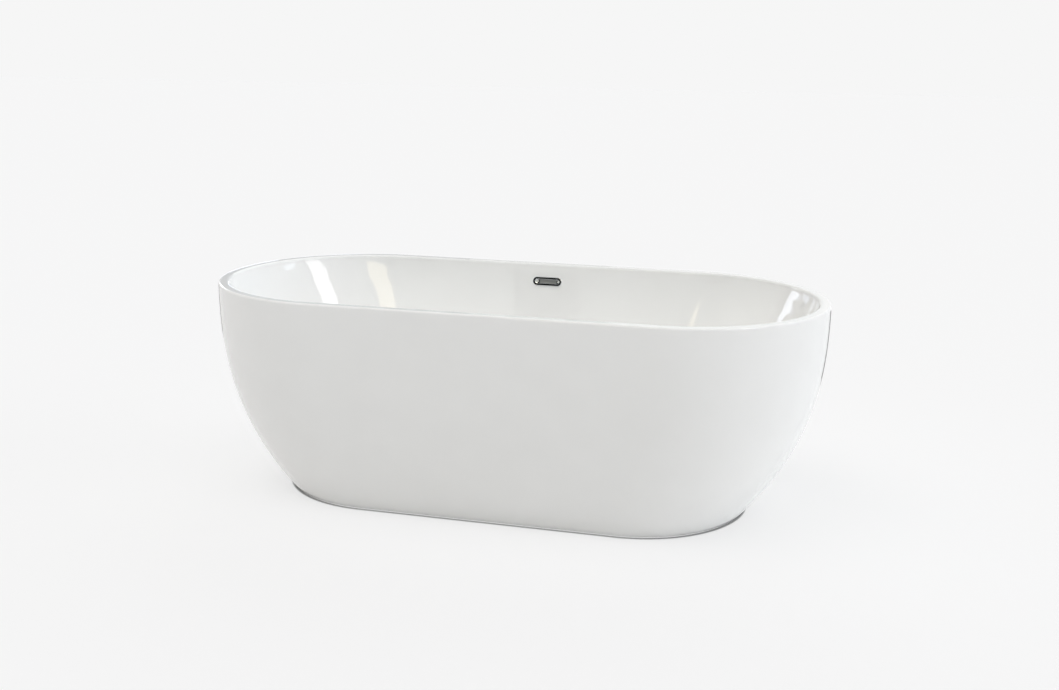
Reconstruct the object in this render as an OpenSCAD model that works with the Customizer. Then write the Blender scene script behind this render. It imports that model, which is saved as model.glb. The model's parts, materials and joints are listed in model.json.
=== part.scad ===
// Freestanding oval bath: an acrylic bowl bonded to an acrylic skirt, carried by a base board
// and a steel frame on five levelling feet, with a click-clack waste and a slotted overflow.
// Millimetres. The origin is on the floor under the middle of the bath, +X runs along its
// length, +Y points at the side that has the overflow, and +Z is up.

/* [Bowl] */
// Length over the rim
bath_length = 1700; // [1600:10:1800]
// Width over the rim
bath_width = 800; // [770:5:860]
// Height of the rim above the floor
bath_height = 580; // [565:5:620]
// Depth from the rim to the waste
bath_depth = 430; // [400:5:440]
// Width of the rim
rim_width = 30; // [29:1:40]
// Rounding of the rim's inner edge
rim_inner_round = 8; // [6:1:12]
// Rounding of the rim's outer edge
rim_outer_round = 6; // [5:1:9]
// Depth of the rim's turned-down outer edge
rim_drop = 27; // [22:1:32]
// How far each end wall runs in from the rim to the floor
end_wall_run = 215; // [180:5:240]
// How far each side wall runs in from the rim to the floor
side_wall_run = 120; // [105:5:130]
// Curve of the inner walls: 1 is straight, more is steeper near the rim
wall_curve = 1.15; // [1:0.05:1.4]
// Rounding between the walls and the floor
floor_round = 90; // [60:5:100]
// Fall of the floor towards the waste
floor_fall = 5; // [2:1:8]
// Length of the flat landing round the waste
landing_length = 200; // [140:10:260]
// Width of the flat landing round the waste
landing_width = 130; // [110:10:150]
// Thickness of the acrylic sheet, bowl and skirt
acrylic = 4; // [3:0.5:4.5]

/* [Skirt] */
// How far the foot of the skirt stands in from the rim at each end
skirt_end_inset = 195; // [170:5:220]
// How far the foot of the skirt stands in from the rim at each side
skirt_side_inset = 95; // [80:5:105]
// Curve of the skirt: higher stays upright for longer below the rim
skirt_curve = 2.6; // [2.2:0.1:3]
// Gap between the foot of the skirt and the floor
skirt_gap = 5; // [4:1:10]

/* [Laminate] */
// Thickness of the glass fibre laminate behind the acrylic
laminate = 3; // [2:0.5:3.5]
// Thickness of the laminate under the landing
floor_laminate = 6; // [5:1:8]
// Bond line between two bonded shells
bond = 0.3; // [0.2:0.1:0.4]
// Height of the strip that laps the joint between rim and skirt
lap_height = 36; // [28:2:40]

/* [Base] */
// Thickness of the base board
board = 18; // [15:1:20]
// How far the board stands in from the flat of the floor at each end
board_end_inset = 8; // [5:1:20]
// How far the board stands in from the flat of the floor at each side
board_side_inset = 4; // [3:1:10]
// Diameter of the hole in the board for the waste
board_hole = 130; // [110:5:140]
// Side of the square frame tube
tube = 30; // [25:1:32]
// Wall of the frame tube
tube_wall = 2; // [1.5:0.25:3]
// Distance from the end of the skirt's foot to the corner feet
foot_end_inset = 225; // [190:5:260]
// Distance from the side of the skirt's foot to the corner feet
foot_side_inset = 115; // [100:5:125]
// Distance of the inner cross tubes from the waste
inner_cross = 120; // [100:5:150]
// Gap between the end of a rail and the skirt's laminate, at the nearest corner
rail_gap = 11; // [8:1:60]
// Length of the bonding blocks between frame and skirt
block_length = 30; // [20:5:40]
// Thickness of the screw tabs on the frame
tab = 3; // [2:0.5:4]
// Distance of the screw tabs from the bath's middle line
tab_side = 100; // [80:5:110]
// Diameter of the board screws
screw_d = 5; // [4:0.5:6]

/* [Feet] */
// Thread diameter of the foot studs
stud_d = 12; // [10:1:14]
// Diameter of the foot pads
pad_d = 50; // [40:2:60]
// Height of the foot pads
pad_h = 12; // [11:1:15]
// Length of the welded sleeve nuts
sleeve_nut = 30; // [24:1:34]
// Thickness of the lock nuts
lock_nut = 6; // [5:1:8]
// Height of the wrench hexagon on a stud
wrench_hex = 8; // [6:1:10]
// Length of stud inside the frame tube
stud_in_tube = 10; // [6:1:12]

/* [Waste] */
// Outside diameter of the waste's screwed body
waste_d = 48; // [46:1:50]
// Clear bore of the waste
waste_bore = 40; // [38:0.5:41]
// Diameter of the waste flange
flange_d = 70; // [66:1:76]
// Thickness of the waste flange
flange = 3; // [2:0.5:4]
// Depth of the waste's screwed body below the flange
waste_body = 48; // [44:1:52]
// Outside diameter of the tailpiece
tailpiece_d = 38.1; // [37:0.1:40]
// Wall of the tailpiece
tailpiece_wall = 1.5; // [1:0.25:2]
// Length of the tailpiece
tailpiece_length = 47.8; // [44:0.2:52]
// Height of the overflow inlet above the open end of the tee
inlet_rise = 31; // [29:1:34]
// Diameter of the plug
plug_d = 64; // [60:1:68]
// Travel of the plug from closed to open
plug_travel = 8; // [6:1:9]

/* [Overflow] */
// Height of the overflow below the rim
overflow_below_rim = 52; // [48:1:56]
// Length of the overflow trim
trim_length = 89; // [84:1:96]
// Height of the overflow trim
trim_height = 26; // [24:1:28]
// Thickness of the trim's lip
trim_lip = 3; // [2:0.5:4]
// Length of the overflow's clear slot
slot_length = 76; // [70:1:78]
// Height of the overflow's clear slot
slot_height = 12; // [10:1:13]
// Depth of the overflow housing behind the gasket
housing = 12; // [10:1:12]
// Outside diameter of the overflow hose
hose_d = 27; // [25:1:28]
// Wall of the overflow hose
hose_wall = 2.4; // [2:0.2:3]
// Bend radius of the overflow hose
hose_bend = 70; // [60:5:80]
// Length of hose pushed over the spigot at each end
hose_grip = 22; // [18:1:24]
// Width of the hose clamps
clamp_w = 9; // [7:0.5:12]

/* [Fits] */
// Radial clearance of turning and sliding fits
running = 0.05; // [0.03:0.01:0.08]
// Radial clearance of parts that slip into each other
slip = 0.2; // [0.1:0.05:0.4]
// Gap between the overflow hose and the frame above it
hose_clearance = 3.2; // [2:0.2:5]
// Gap between the wrench hexagon of a foot and the lock nut, with the foot right in
foot_play = 1; // [0.5:0.5:2]

/* [Hidden] */
$fn = 64;

end_steps = 24;                     // flats round each half-circle end
round_steps = 3;                    // flats round each edge of the rim
fillet_steps = 6;                   // flats round the floor
wall_steps = 6;                     // flats up the inner wall below the overflow
skirt_steps = 15;                   // flats down the skirt
eps = 0.01;                         // overshoot of a cut past the face it opens

// Levels, from the rim down
rim_foot_z = bath_height - rim_drop;
wall_top_z = bath_height - rim_inner_round;
overflow_z = bath_height - overflow_below_rim;
overflow_band = 20;                 // half the height of the flat band of wall at the overflow
landing_z = bath_height - bath_depth;
floor_edge_z = landing_z + floor_fall;
board_top = landing_z - acrylic - bond - floor_laminate;
frame_top = board_top - board;
frame_foot = frame_top - tube;
lap_z = rim_foot_z - lap_height / 2;

// ---------------------------------------------------------------- shells

// A ring is [half length, half width, height] of a stadium with round ends.
function ring_points(r) =
    let (a = r[0] - r[1])
    concat(
        [for (i = [0:end_steps]) let (p = -90 + 180 * i / end_steps)
            [a + r[1] * cos(p), r[1] * sin(p), r[2]]],
        [for (i = [0:end_steps]) let (p = 90 + 180 * i / end_steps)
            [-a + r[1] * cos(p), r[1] * sin(p), r[2]]]);

// A skin over loops of equally many points, with its two ends capped or joined to each other.
module skin(loops, joined = false) {
    n = len(loops[0]);
    m = len(loops);
    polyhedron(
        points = [for (loop = loops) each loop],
        faces = concat(
            joined ? [] : [[for (i = [n - 1:-1:0]) i], [for (i = [0:n - 1]) (m - 1) * n + i]],
            [for (k = [0:m - (joined ? 1 : 2)]) for (i = [0:n - 1])
                let (j = (i + 1) % n, q = (k + 1) % m)
                [k * n + i, k * n + j, q * n + j, q * n + i]]),
        convexity = 8);
}

// A solid whose rings run out from the inside middle and back underneath.
module loft(rings) skin([for (r = rings) ring_points(r)]);

// A band whose rings run down one side and back up the other.
module loft_band(rings) skin([for (r = rings) ring_points(r)], joined = true);

function reversed(v) = [for (i = [len(v) - 1:-1:0]) v[i]];

// The rings moved by t to the dry side, square to the side wall's outline.
function behind(rings, t) =
    [for (i = [0:len(rings) - 1])
        let (p = rings[max(i - 1, 0)], q = rings[min(i + 1, len(rings) - 1)],
             run = q[1] - p[1], rise = q[2] - p[2], len = norm([run, rise]))
        rings[i] + t / len * [rise, rise, -run]];

// Outer outline of rim and skirt at height z, moved in by t square to each wall.
function skirt_depth(z) = (bath_height - z) / (bath_height - skirt_gap);
function skirt_half(z, whole, inset, t) =
    let (lean = inset * skirt_curve * pow(skirt_depth(z), skirt_curve - 1) / (bath_height - skirt_gap))
    whole / 2 - inset * pow(skirt_depth(z), skirt_curve) - t * sqrt(1 + lean * lean);
function skirt_ring(z, t = 0) = [
    skirt_half(z, bath_length, skirt_end_inset, t),
    skirt_half(z, bath_width, skirt_side_inset, t), z];

// Inner wall of the bowl at height z, moved in by extra.
function wall_share(z) = pow((wall_top_z - z) / (wall_top_z - floor_edge_z), wall_curve);
function wall_ring(z, extra = 0) = [
    bath_length / 2 - rim_width - end_wall_run * wall_share(z) - extra,
    bath_width / 2 - rim_width - side_wall_run * wall_share(z) - extra, z];

// Water side of the bowl from the landing to just under the rim.
wall_foot_z = floor_edge_z + floor_round;
wall_levels = concat(
    [for (i = [0:wall_steps])
        wall_foot_z + (overflow_z - overflow_band - wall_foot_z) * i / wall_steps],
    [overflow_z + overflow_band]);
bowl_rings = concat(
    [[landing_length / 2, landing_width / 2, landing_z]],
    [for (i = [0:fillet_steps - 1]) let (p = 90 * i / fillet_steps)
        wall_ring(floor_edge_z + floor_round * (1 - cos(p)), floor_round * (1 - sin(p)))],
    [for (z = wall_levels) wall_ring(z)]);
rim_rings = concat(
    [for (i = [0:round_steps]) let (p = 90 * i / round_steps,
        in = rim_width - rim_inner_round * (1 - cos(p)))
        [bath_length / 2 - in, bath_width / 2 - in, wall_top_z + rim_inner_round * sin(p)]],
    [for (i = [0:round_steps]) let (p = 90 * i / round_steps,
        in = rim_outer_round * (1 - sin(p)))
        [bath_length / 2 - in, bath_width / 2 - in,
         bath_height - rim_outer_round * (1 - cos(p))]],
    [skirt_ring(rim_foot_z)]);

module inner_bowl() {
    rings = concat(bowl_rings, rim_rings);
    color("white") difference() {
        loft(concat(rings, reversed(behind(rings, acrylic))));
        waste_hole();
        overflow_hole();
    }
}

module bowl_laminate() {
    front = behind(bowl_rings, acrylic + bond);
    back = behind(bowl_rings, acrylic + bond + laminate);
    foot = back[1];
    color("burlywood") difference() {
        loft(concat(
            front,
            [for (i = [len(back) - 1:-1:1]) back[i]],
            [[foot[0], foot[1], board_top]]));
        waste_hole();
        overflow_hole();
    }
}

module skirt_band(top_z, foot_z, steps, t_out, t_in) {
    levels = [for (i = [0:steps]) top_z + (foot_z - top_z) * i / steps];
    loft_band(concat(
        [for (z = levels) skirt_ring(z, t_out)],
        [for (z = reversed(levels)) skirt_ring(z, t_in)]));
}

module outer_skirt() color("white")
    skirt_band(rim_foot_z, skirt_gap, skirt_steps, 0, acrylic);

laminate_foot = skirt_gap + 6;      // the laminate stops short of the skirt's foot
laminate_head = lap_z - 2;          // and short of the lap strip
module skirt_laminate() color("burlywood")
    skirt_band(laminate_head, laminate_foot, skirt_steps - 1,
        acrylic + bond, acrylic + bond + laminate);

module rim_lap_strip() color("tan")
    skirt_band(lap_z + lap_height, lap_z, 2, acrylic + bond, acrylic + bond + laminate);

module waste_hole() translate([0, 0, board_top - eps])
    cylinder(d = waste_d + 2 * slip, h = landing_z - board_top + floor_fall);

// ---------------------------------------------------------------- base board and frame

board_end = bowl_rings[1][0] - board_end_inset;
board_side = bowl_rings[1][1] - board_side_inset;

module base_board() color("peru") difference() {
    translate([0, 0, frame_top]) stadium(2 * board_end, 2 * board_side, board);
    translate([0, 0, frame_top - eps]) cylinder(d = board_hole, h = board + 2 * eps);
    for (p = screw_points) translate([p[0], p[1], frame_top - eps])
        cylinder(d = screw_d + 2 * running, h = screw_bite + eps);
}

// A flat plate with round ends, on the XY plane.
module stadium(length, width, height) linear_extrude(height = height)
    stadium_face(length, width);

module stadium_face(length, width) union() {
    square([length - width, width], center = true);
    for (s = [-1, 1]) translate([s * (length - width) / 2, 0]) circle(d = width);
}

skirt_foot = skirt_ring(skirt_gap);
foot_x = skirt_foot[0] - foot_end_inset;
foot_y = skirt_foot[1] - foot_side_inset;
foot_points = [
    [-foot_x, -foot_y], [foot_x, -foot_y], [foot_x, foot_y], [-foot_x, foot_y],
    [inner_cross, 0]];
cross_half = foot_y - tube / 2;
skirt_build = acrylic + bond + laminate + bond;

// Where a line across the bath at x, or one along it at y, meets the back of the skirt.
function back_ring(z) = let (r = skirt_ring(z, skirt_build))
    [r[0] - r[1], r[1] * cos(90 / end_steps)];
function back_y(x, z) = let (r = back_ring(z))
    sqrt(pow(r[1], 2) - pow(max(abs(x) - r[0], 0), 2));
function back_x(y, z) = let (r = back_ring(z)) r[0] + sqrt(pow(r[1], 2) - y * y);
rail_half = back_x(foot_y + tube / 2, frame_foot) - rail_gap;
outrigger_end = back_y(foot_x + tube / 2, frame_foot) - block_length;

module tube_along_x(x, y, length) translate([x, y, frame_foot]) difference() {
    translate([0, -tube / 2, 0]) cube([length, tube, tube]);
    translate([-eps, -tube / 2 + tube_wall, tube_wall])
        cube([length + 2 * eps, tube - 2 * tube_wall, tube - 2 * tube_wall]);
}

module tube_along_y(x, y, length) translate([x, y, 0]) rotate(90) tube_along_x(0, 0, length);

// Clearance holes for the studs in the bottom wall of the tubes, and for a sleeve nut that
// reaches up into its tube.
module stud_holes() for (p = foot_points) {
    translate([p[0], p[1], frame_foot - eps])
        cylinder(d = stud_d + 2 * slip, h = tube_wall + 2 * eps);
    if (sleeve_top > frame_foot) translate([p[0], p[1], sleeve_foot])
        hexagon(nut_across + 2 * slip, sleeve_nut);
}

module frame_rail(side) color("silver") difference() {
    tube_along_x(-rail_half, side * foot_y, 2 * rail_half);
    stud_holes();
}

module frame_cross_tubes() color("silver") difference() {
    for (x = [-foot_x, -inner_cross, inner_cross, foot_x])
        tube_along_y(x, -cross_half, 2 * cross_half);
    stud_holes();
}

module frame_outriggers() color("silver")
    for (x = [-foot_x, foot_x]) for (side = [-1, 1])
        if (side > 0) tube_along_y(x, foot_y + tube / 2, outrigger_end - foot_y - tube / 2);
        else tube_along_y(x, -outrigger_end, outrigger_end - foot_y - tube / 2);

// Screw tabs, welded to the sides of the cross tubes that face each other.
tab_length = 40;
tab_reach = 26;
screw_bite = 12;                    // depth of a screw in the board
screw_head = 3;
tab_offset = tube / 2 + tab_reach / 2;
screw_points = [for (x = [inner_cross + tab_offset, foot_x - tab_offset])
    for (sx = [-x, x]) for (sy = [-tab_side, tab_side]) [sx, sy]];

module frame_tabs() color("silver") difference() {
    for (p = screw_points) translate([p[0], p[1], frame_top - tab / 2])
        cube([tab_reach, tab_length, tab], center = true);
    for (p = screw_points) translate([p[0], p[1], frame_top - tab - eps])
        cylinder(d = screw_d + 2 * slip, h = tab + 2 * eps);
}

module board_screws() color("gold")
    for (p = screw_points) translate([p[0], p[1], frame_top - tab]) {
        cylinder(d = screw_d, h = tab + screw_bite - slip);
        translate([0, 0, -screw_head]) cylinder(d = 2 * screw_d, h = screw_head);
    }

// Blocks that bond the ends of the frame to the back of the skirt.
block_gap = 3;                      // how far a block stands in from the faces of its tube
block_low = frame_foot + block_gap;
block_high = frame_top - block_gap;
block_corners = [[-1, block_low], [1, block_low], [1, block_high], [-1, block_high]];
module bonding_blocks() color("wheat") {
    for (x = [-foot_x, foot_x]) for (turn = [0, 180]) rotate(turn) skin([
        [for (c = block_corners) [x - c[0] * tube / 2, outrigger_end, c[1]]],
        [for (c = block_corners) let (along = x - c[0] * tube / 2)
            [along, back_y(along, c[1]), c[1]]]]);
    for (y = [-foot_y, foot_y]) for (turn = [0, 180]) rotate(turn) skin([
        [for (c = block_corners) [rail_half, y + c[0] * tube / 2, c[1]]],
        [for (c = block_corners) let (side = y + c[0] * tube / 2)
            [back_x(side, c[1]), side, c[1]]]]);
}

// ---------------------------------------------------------------- levelling feet

ball_d = stud_d + 4;
ball_z = 4;
ball_h = 5;
hex_z = pad_h + 4;
lowest_nut = hex_z + wrench_hex + foot_play;
sleeve_foot = max(frame_foot - sleeve_nut, lowest_nut + lock_nut);
sleeve_top = sleeve_foot + sleeve_nut;
stud_top = max(frame_foot, sleeve_top - tube) + stud_in_tube;
nut_across = 1.6 * stud_d;          // across the flats

// A hexagon prism that measures across its flats.
module hexagon(across, height) cylinder(d = across / cos(30), h = height, $fn = 6);

module at_feet() for (p = foot_points) translate([p[0], p[1], 0]) children();

module foot_sleeve_nuts() color("silver") at_feet() translate([0, 0, sleeve_foot]) difference() {
    hexagon(nut_across, sleeve_nut);
    translate([0, 0, -eps]) cylinder(d = stud_d + 2 * running, h = sleeve_nut + 2 * eps);
}

module foot_lock_nuts() color("gainsboro") at_feet()
    translate([0, 0, sleeve_foot - lock_nut]) difference() {
    hexagon(nut_across, lock_nut);
    translate([0, 0, -eps]) cylinder(d = stud_d + 2 * running, h = lock_nut + 2 * eps);
}

module foot_stud(i) color("gainsboro") translate([foot_points[i][0], foot_points[i][1], 0]) union() {
    translate([0, 0, ball_z]) cylinder(d = ball_d, h = ball_h);
    translate([0, 0, ball_z]) cylinder(d = stud_d, h = stud_top - ball_z);
    translate([0, 0, hex_z]) hexagon(nut_across - 2, wrench_hex);
}

module foot_pad(i) color("dimgray") translate([foot_points[i][0], foot_points[i][1], 0])
    rotate_extrude() polygon([
        [0, 0], [pad_d / 2 - 1, 0], [pad_d / 2, 1], [pad_d / 2, 4], [ball_d / 2 + 4, pad_h],
        [stud_d / 2 + slip, pad_h], [stud_d / 2 + slip, ball_z + ball_h + slip],
        [ball_d / 2 + running, ball_z + ball_h + slip], [ball_d / 2 + running, ball_z - running],
        [0, ball_z - running]]);

// ---------------------------------------------------------------- waste

seal = 2;
flange_foot = landing_z + seal;
flange_top = flange_foot + flange;
waste_foot = flange_top - flange - waste_body;
seat = 5;                           // depth and width of the conical seat in the waste's mouth
spider_z = waste_foot + 14;         // underside of the cross bars in the waste
spider_h = 6;
boss_d = 14;
cartridge_d = 16;
cartridge_thread_d = 9;
gasket = 3;
gasket_width = 14;
drain_nut = 10;
drain_nut_wall = 8;

module flange_seal() color("dimgray") ring(flange_d - 4, waste_d + 2 * slip, seal, landing_z);

// A flat ring with its foot at height z.
module ring(outer_d, inner_d, height, z) translate([0, 0, z]) difference() {
    cylinder(d = outer_d, h = height);
    translate([0, 0, -eps]) cylinder(d = inner_d, h = height + 2 * eps);
}

module drain_flange() color("gainsboro") union() {
    rotate_extrude() polygon([
        [waste_bore / 2, waste_foot], [waste_d / 2, waste_foot], [waste_d / 2, flange_foot],
        [flange_d / 2, flange_foot], [flange_d / 2, flange_foot + 1],
        [flange_d / 2 - 2, flange_top], [waste_bore / 2 + seat, flange_top],
        [waste_bore / 2, flange_top - seat]]);
    difference() {
        union() {
            for (a = [0, 90]) rotate(a) translate([-waste_bore / 2 - 1, -1.5, spider_z])
                cube([waste_bore + 2, 3, spider_h]);
            translate([0, 0, spider_z]) cylinder(d = boss_d, h = spider_h);
        }
        translate([0, 0, spider_z - eps])
            cylinder(d = cartridge_thread_d + 2 * running, h = spider_h + 2 * eps);
    }
}

module drain_gasket() color("dimgray")
    ring(waste_d + 2 * gasket_width, waste_d + 2 * slip, gasket, board_top - gasket);

nut_top = board_top - gasket;
module drain_lock_nut() color("darkkhaki") translate([0, 0, nut_top - drain_nut]) difference() {
    hexagon(waste_d + 2 * drain_nut_wall, drain_nut);
    translate([0, 0, -eps]) cylinder(d = waste_d + 2 * running, h = drain_nut + 2 * eps);
}

// The tee screws on to the waste, takes the overflow at its side and the tailpiece below.
nut_gap = 0.5;                      // between the lock nut and the tee
tee_top = nut_top - drain_nut - nut_gap;
tee_wall = 4;
inlet_z = frame_foot - hose_clearance - hose_d / 2;
tee_foot = inlet_z - inlet_rise;
socket_depth = 12;
tee_collar_d = tailpiece_d + 10;
inlet_d = hose_d - 2 * hose_wall - 2 * running;
inlet_wall = 2.5;
inlet_reach = 62;
module waste_tee() color("whitesmoke") difference() {
    union() {
        translate([0, 0, waste_foot - tee_wall])
            cylinder(d = waste_d + 2 * tee_wall + 2, h = tee_top - waste_foot + tee_wall);
        translate([0, 0, tee_foot]) cylinder(d = tee_collar_d, h = waste_foot - tee_foot);
        translate([0, 0, inlet_z]) rotate([-90, 0, 0]) cylinder(d = inlet_d, h = inlet_reach);
    }
    translate([0, 0, waste_foot]) cylinder(d = waste_d + 2 * running, h = tee_top);
    translate([0, 0, tee_foot + socket_depth])
        cylinder(d = tailpiece_d - 2 * tailpiece_wall, h = waste_foot - tee_foot);
    translate([0, 0, tee_foot - eps]) cylinder(d = tailpiece_d + 2 * slip, h = socket_depth + eps);
    translate([0, 0, inlet_z]) rotate([-90, 0, 0])
        cylinder(d = inlet_d - 2 * inlet_wall, h = inlet_reach + eps);
}

washer = 3;
slip_nut_h = 19;
slip_nut_wall = 4;
slip_nut_foot = tee_foot - washer - slip_nut_wall;

// The tailpiece has a bead that stops it under the slip nut.
tailpiece_top = tee_foot + socket_depth - slip;
tailpiece_end = tailpiece_top - tailpiece_length;
bead = 1.2;
bead_z = slip_nut_foot - 2 * bead - slip;
module tailpiece() color("silver") union() {
    ring(tailpiece_d, tailpiece_d - 2 * tailpiece_wall, tailpiece_top - tailpiece_end, tailpiece_end);
    ring(tailpiece_d + 2 * bead, tailpiece_d - tailpiece_wall, 2 * bead, bead_z);
}

module tailpiece_washer() color("dimgray")
    ring(tee_collar_d - 1, tailpiece_d + 2 * running, washer, tee_foot - washer);

module tailpiece_nut() color("whitesmoke") translate([0, 0, slip_nut_foot]) difference() {
    cylinder(d = tee_collar_d + 9, h = slip_nut_h, $fn = 12);
    translate([0, 0, slip_nut_wall]) cylinder(d = tee_collar_d + 2 * running, h = slip_nut_h);
    translate([0, 0, -eps]) cylinder(d = tailpiece_d + 2 * slip, h = slip_nut_wall + 2 * eps);
}

// ---------------------------------------------------------------- click-clack plug

cap_z = flange_top + 1;             // underside of the cap when the plug is shut
cap_h = 5;
hub_d = 34;
hub_z = flange_top - seat - 1;
rod_d = 7;
collar_d = 10;
collar_h = 2;
cartridge_foot = spider_z + spider_h;
chamber_z = cartridge_foot + 2;     // floor of the spring chamber
collar_z = chamber_z + 6;           // underside of the plunger's collar when the plug is shut
chamber_top = collar_z + collar_h + plug_travel + slip;
cartridge_top = chamber_top + 3;
seat_play = 0.4;
seal_foot = flange_top - seat + 1;
spring_wire = 0.8;
spring_turns = 4;

module plug_cap() color("gainsboro") rotate_extrude() polygon(concat(
    [[rod_d / 2 + running, hub_z], [hub_d / 2, hub_z], [hub_d / 2, cap_z],
     [plug_d / 2 - 1, cap_z], [plug_d / 2, cap_z + 1]],
    [for (i = [1:6]) let (p = 90 * i / 6)
        [plug_d / 2 * cos(p), cap_z + 1 + (cap_h - 1) * sin(p)]],
    [[0, cap_z], [rod_d / 2 + running, cap_z]]));

// The seal's cone follows the seat, seat_play inside it.
function seal_r(z) = waste_bore / 2 + seat - (flange_top - z) - seat_play;
module plug_seal() color("dimgray") rotate_extrude() polygon([
    [hub_d / 2 + running, seal_foot], [seal_r(seal_foot), seal_foot],
    [seal_r(flange_top), flange_top], [hub_d / 2 + running, flange_top]]);

module plug_plunger() color("khaki") union() {
    translate([0, 0, collar_z]) cylinder(d = rod_d, h = cap_z - slip - collar_z);
    translate([0, 0, collar_z]) cylinder(d = collar_d, h = collar_h);
}

module plug_cartridge() color("khaki") difference() {
    union() {
        translate([0, 0, cartridge_foot]) cylinder(d = cartridge_d, h = cartridge_top - cartridge_foot);
        translate([0, 0, spider_z - 2])
            cylinder(d = cartridge_thread_d, h = cartridge_foot - spider_z + 3);
    }
    translate([0, 0, chamber_z]) cylinder(d = collar_d + 1, h = chamber_top - chamber_z);
    translate([0, 0, chamber_top - eps])
        cylinder(d = rod_d + 2 * running, h = cartridge_top - chamber_top + 2 * eps);
}

// A wire of wire_d on a helix, as a skin over rings of points.
spring_r = (collar_d + 1) / 2 - spring_wire / 2 - slip;
spring_z0 = chamber_z + spring_wire / 2 + slip;
spring_z1 = collar_z - spring_wire / 2 - slip;
wire_sides = 8;
turn_steps = 18;
module plug_spring() color("silver") skin([for (k = [0:spring_turns * turn_steps])
    [for (i = [0:wire_sides - 1])
        let (turn = 360 * k / turn_steps, side = 360 * i / wire_sides,
             rise = (spring_z1 - spring_z0) * k / (spring_turns * turn_steps),
             r = spring_r + spring_wire / 2 * cos(side))
        [r * cos(turn), r * sin(turn), spring_z0 + rise + spring_wire / 2 * sin(side)]]]);

// ---------------------------------------------------------------- overflow

band_top = wall_ring(overflow_z + overflow_band);
band_foot = wall_ring(overflow_z - overflow_band);
overflow_tilt = atan2(band_top[1] - band_foot[1], 2 * overflow_band);
overflow_y = (band_top[1] + band_foot[1]) / 2;
wall_build = acrylic + bond + laminate;
cut_play = 2;                       // how much larger the hole in the wall is than the sleeve
sleeve_wall = 1.8;
foam = 3;

// Children sit on the inner wall with +Z pointing into the bath and +Y up the wall.
module at_overflow() translate([0, overflow_y, overflow_z]) rotate([90 - overflow_tilt, 0, 0]) children();

module stadium_ring(length, height, hole_length, hole_height, depth) linear_extrude(height = depth)
    difference() {
        stadium_face(length, height);
        stadium_face(hole_length, hole_height);
    }

sleeve_length = slot_length + 2 * sleeve_wall;
sleeve_height = slot_height + 2 * sleeve_wall;
module overflow_hole() at_overflow() translate([0, 0, -wall_build - 3])
    stadium(sleeve_length + cut_play, sleeve_height + cut_play, wall_build + 6);

// The trim's sleeve ends in a plate with a window for the water and a lug at each end of it.
lug = 2;
lug_reach = 11;
trim_foot = -wall_build - foam;
screw_d_trim = 3;
screw_x = slot_length / 2 - lug_reach / 2;
module overflow_trim() color("gainsboro") at_overflow() union() {
    translate([0, 0, slip]) stadium_ring(trim_length, trim_height, slot_length, slot_height, trim_lip);
    translate([0, 0, trim_foot])
        stadium_ring(sleeve_length, sleeve_height, slot_length, slot_height, slip + 1 - trim_foot);
    translate([0, 0, trim_foot]) linear_extrude(height = lug) difference() {
        stadium_face(sleeve_length, sleeve_height);
        square([slot_length - 2 * lug_reach, slot_height], center = true);
        for (s = [-1, 1]) translate([s * screw_x, 0]) circle(d = screw_d_trim + 2 * slip);
    }
}

gasket_length = sleeve_length + 16;
gasket_height = sleeve_height + 13;
module overflow_gasket() color("dimgray") at_overflow() translate([0, 0, -wall_build - foam - slip])
    stadium_ring(gasket_length, gasket_height, sleeve_length + cut_play, sleeve_height + cut_play, foam);

// The housing catches the water behind the slot and sends it down its outlet.
housing_wall = 2.5;
housing_z = -wall_build - foam - slip;
outlet_z = -wall_build - hose_d / 2 - 1.3;
outlet_y = -gasket_height / 2 + 3;
outlet_reach = 33;
boss_d_trim = 8;
module overflow_housing() color("whitesmoke") at_overflow() difference() {
    union() {
        translate([0, 0, housing_z - housing]) stadium(gasket_length, gasket_height, housing);
        translate([0, outlet_y, outlet_z]) rotate([90, 0, 0]) cylinder(d = inlet_d, h = outlet_reach);
    }
    difference() {
        translate([0, 0, housing_z - housing + housing_wall])
            stadium(gasket_length - 2 * housing_wall, gasket_height - 2 * housing_wall, housing);
        at_trim_screws(housing_z - housing) cylinder(d = boss_d_trim, h = housing);
    }
    translate([0, outlet_y - housing_wall, outlet_z]) rotate([90, 0, 0])
        cylinder(d = inlet_d - 2 * inlet_wall, h = outlet_reach);
    at_trim_screws(housing_z - housing + housing_wall)
        cylinder(d = screw_d_trim + 2 * running, h = housing);
}

module at_trim_screws(z) for (s = [-1, 1]) translate([s * screw_x, 0, z]) children();

trim_screw = 9;                     // length of a trim screw under its head
module overflow_screws() color("gray") at_overflow() at_trim_screws(trim_foot + lug) {
    cylinder(d = 2 * screw_d_trim, h = 2);
    translate([0, 0, -trim_screw]) cylinder(d = screw_d_trim, h = trim_screw);
}

// The hose runs down beside the bowl, bends under it and meets the tee.
hose_top = outlet_y - outlet_reach + hose_grip;
hose_top_y = overflow_y - outlet_z * cos(overflow_tilt) + hose_top * sin(overflow_tilt);
hose_top_z = overflow_z + outlet_z * sin(overflow_tilt) + hose_top * cos(overflow_tilt);
hose_turn = 90 - overflow_tilt;
hose_tangent = hose_bend * tan(hose_turn / 2);
hose_corner_y = hose_top_y - (hose_top_z - inlet_z) * tan(overflow_tilt);
hose_foot_y = inlet_reach - hose_grip;

hose_sides = 24;
bend_steps = 12;

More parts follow.
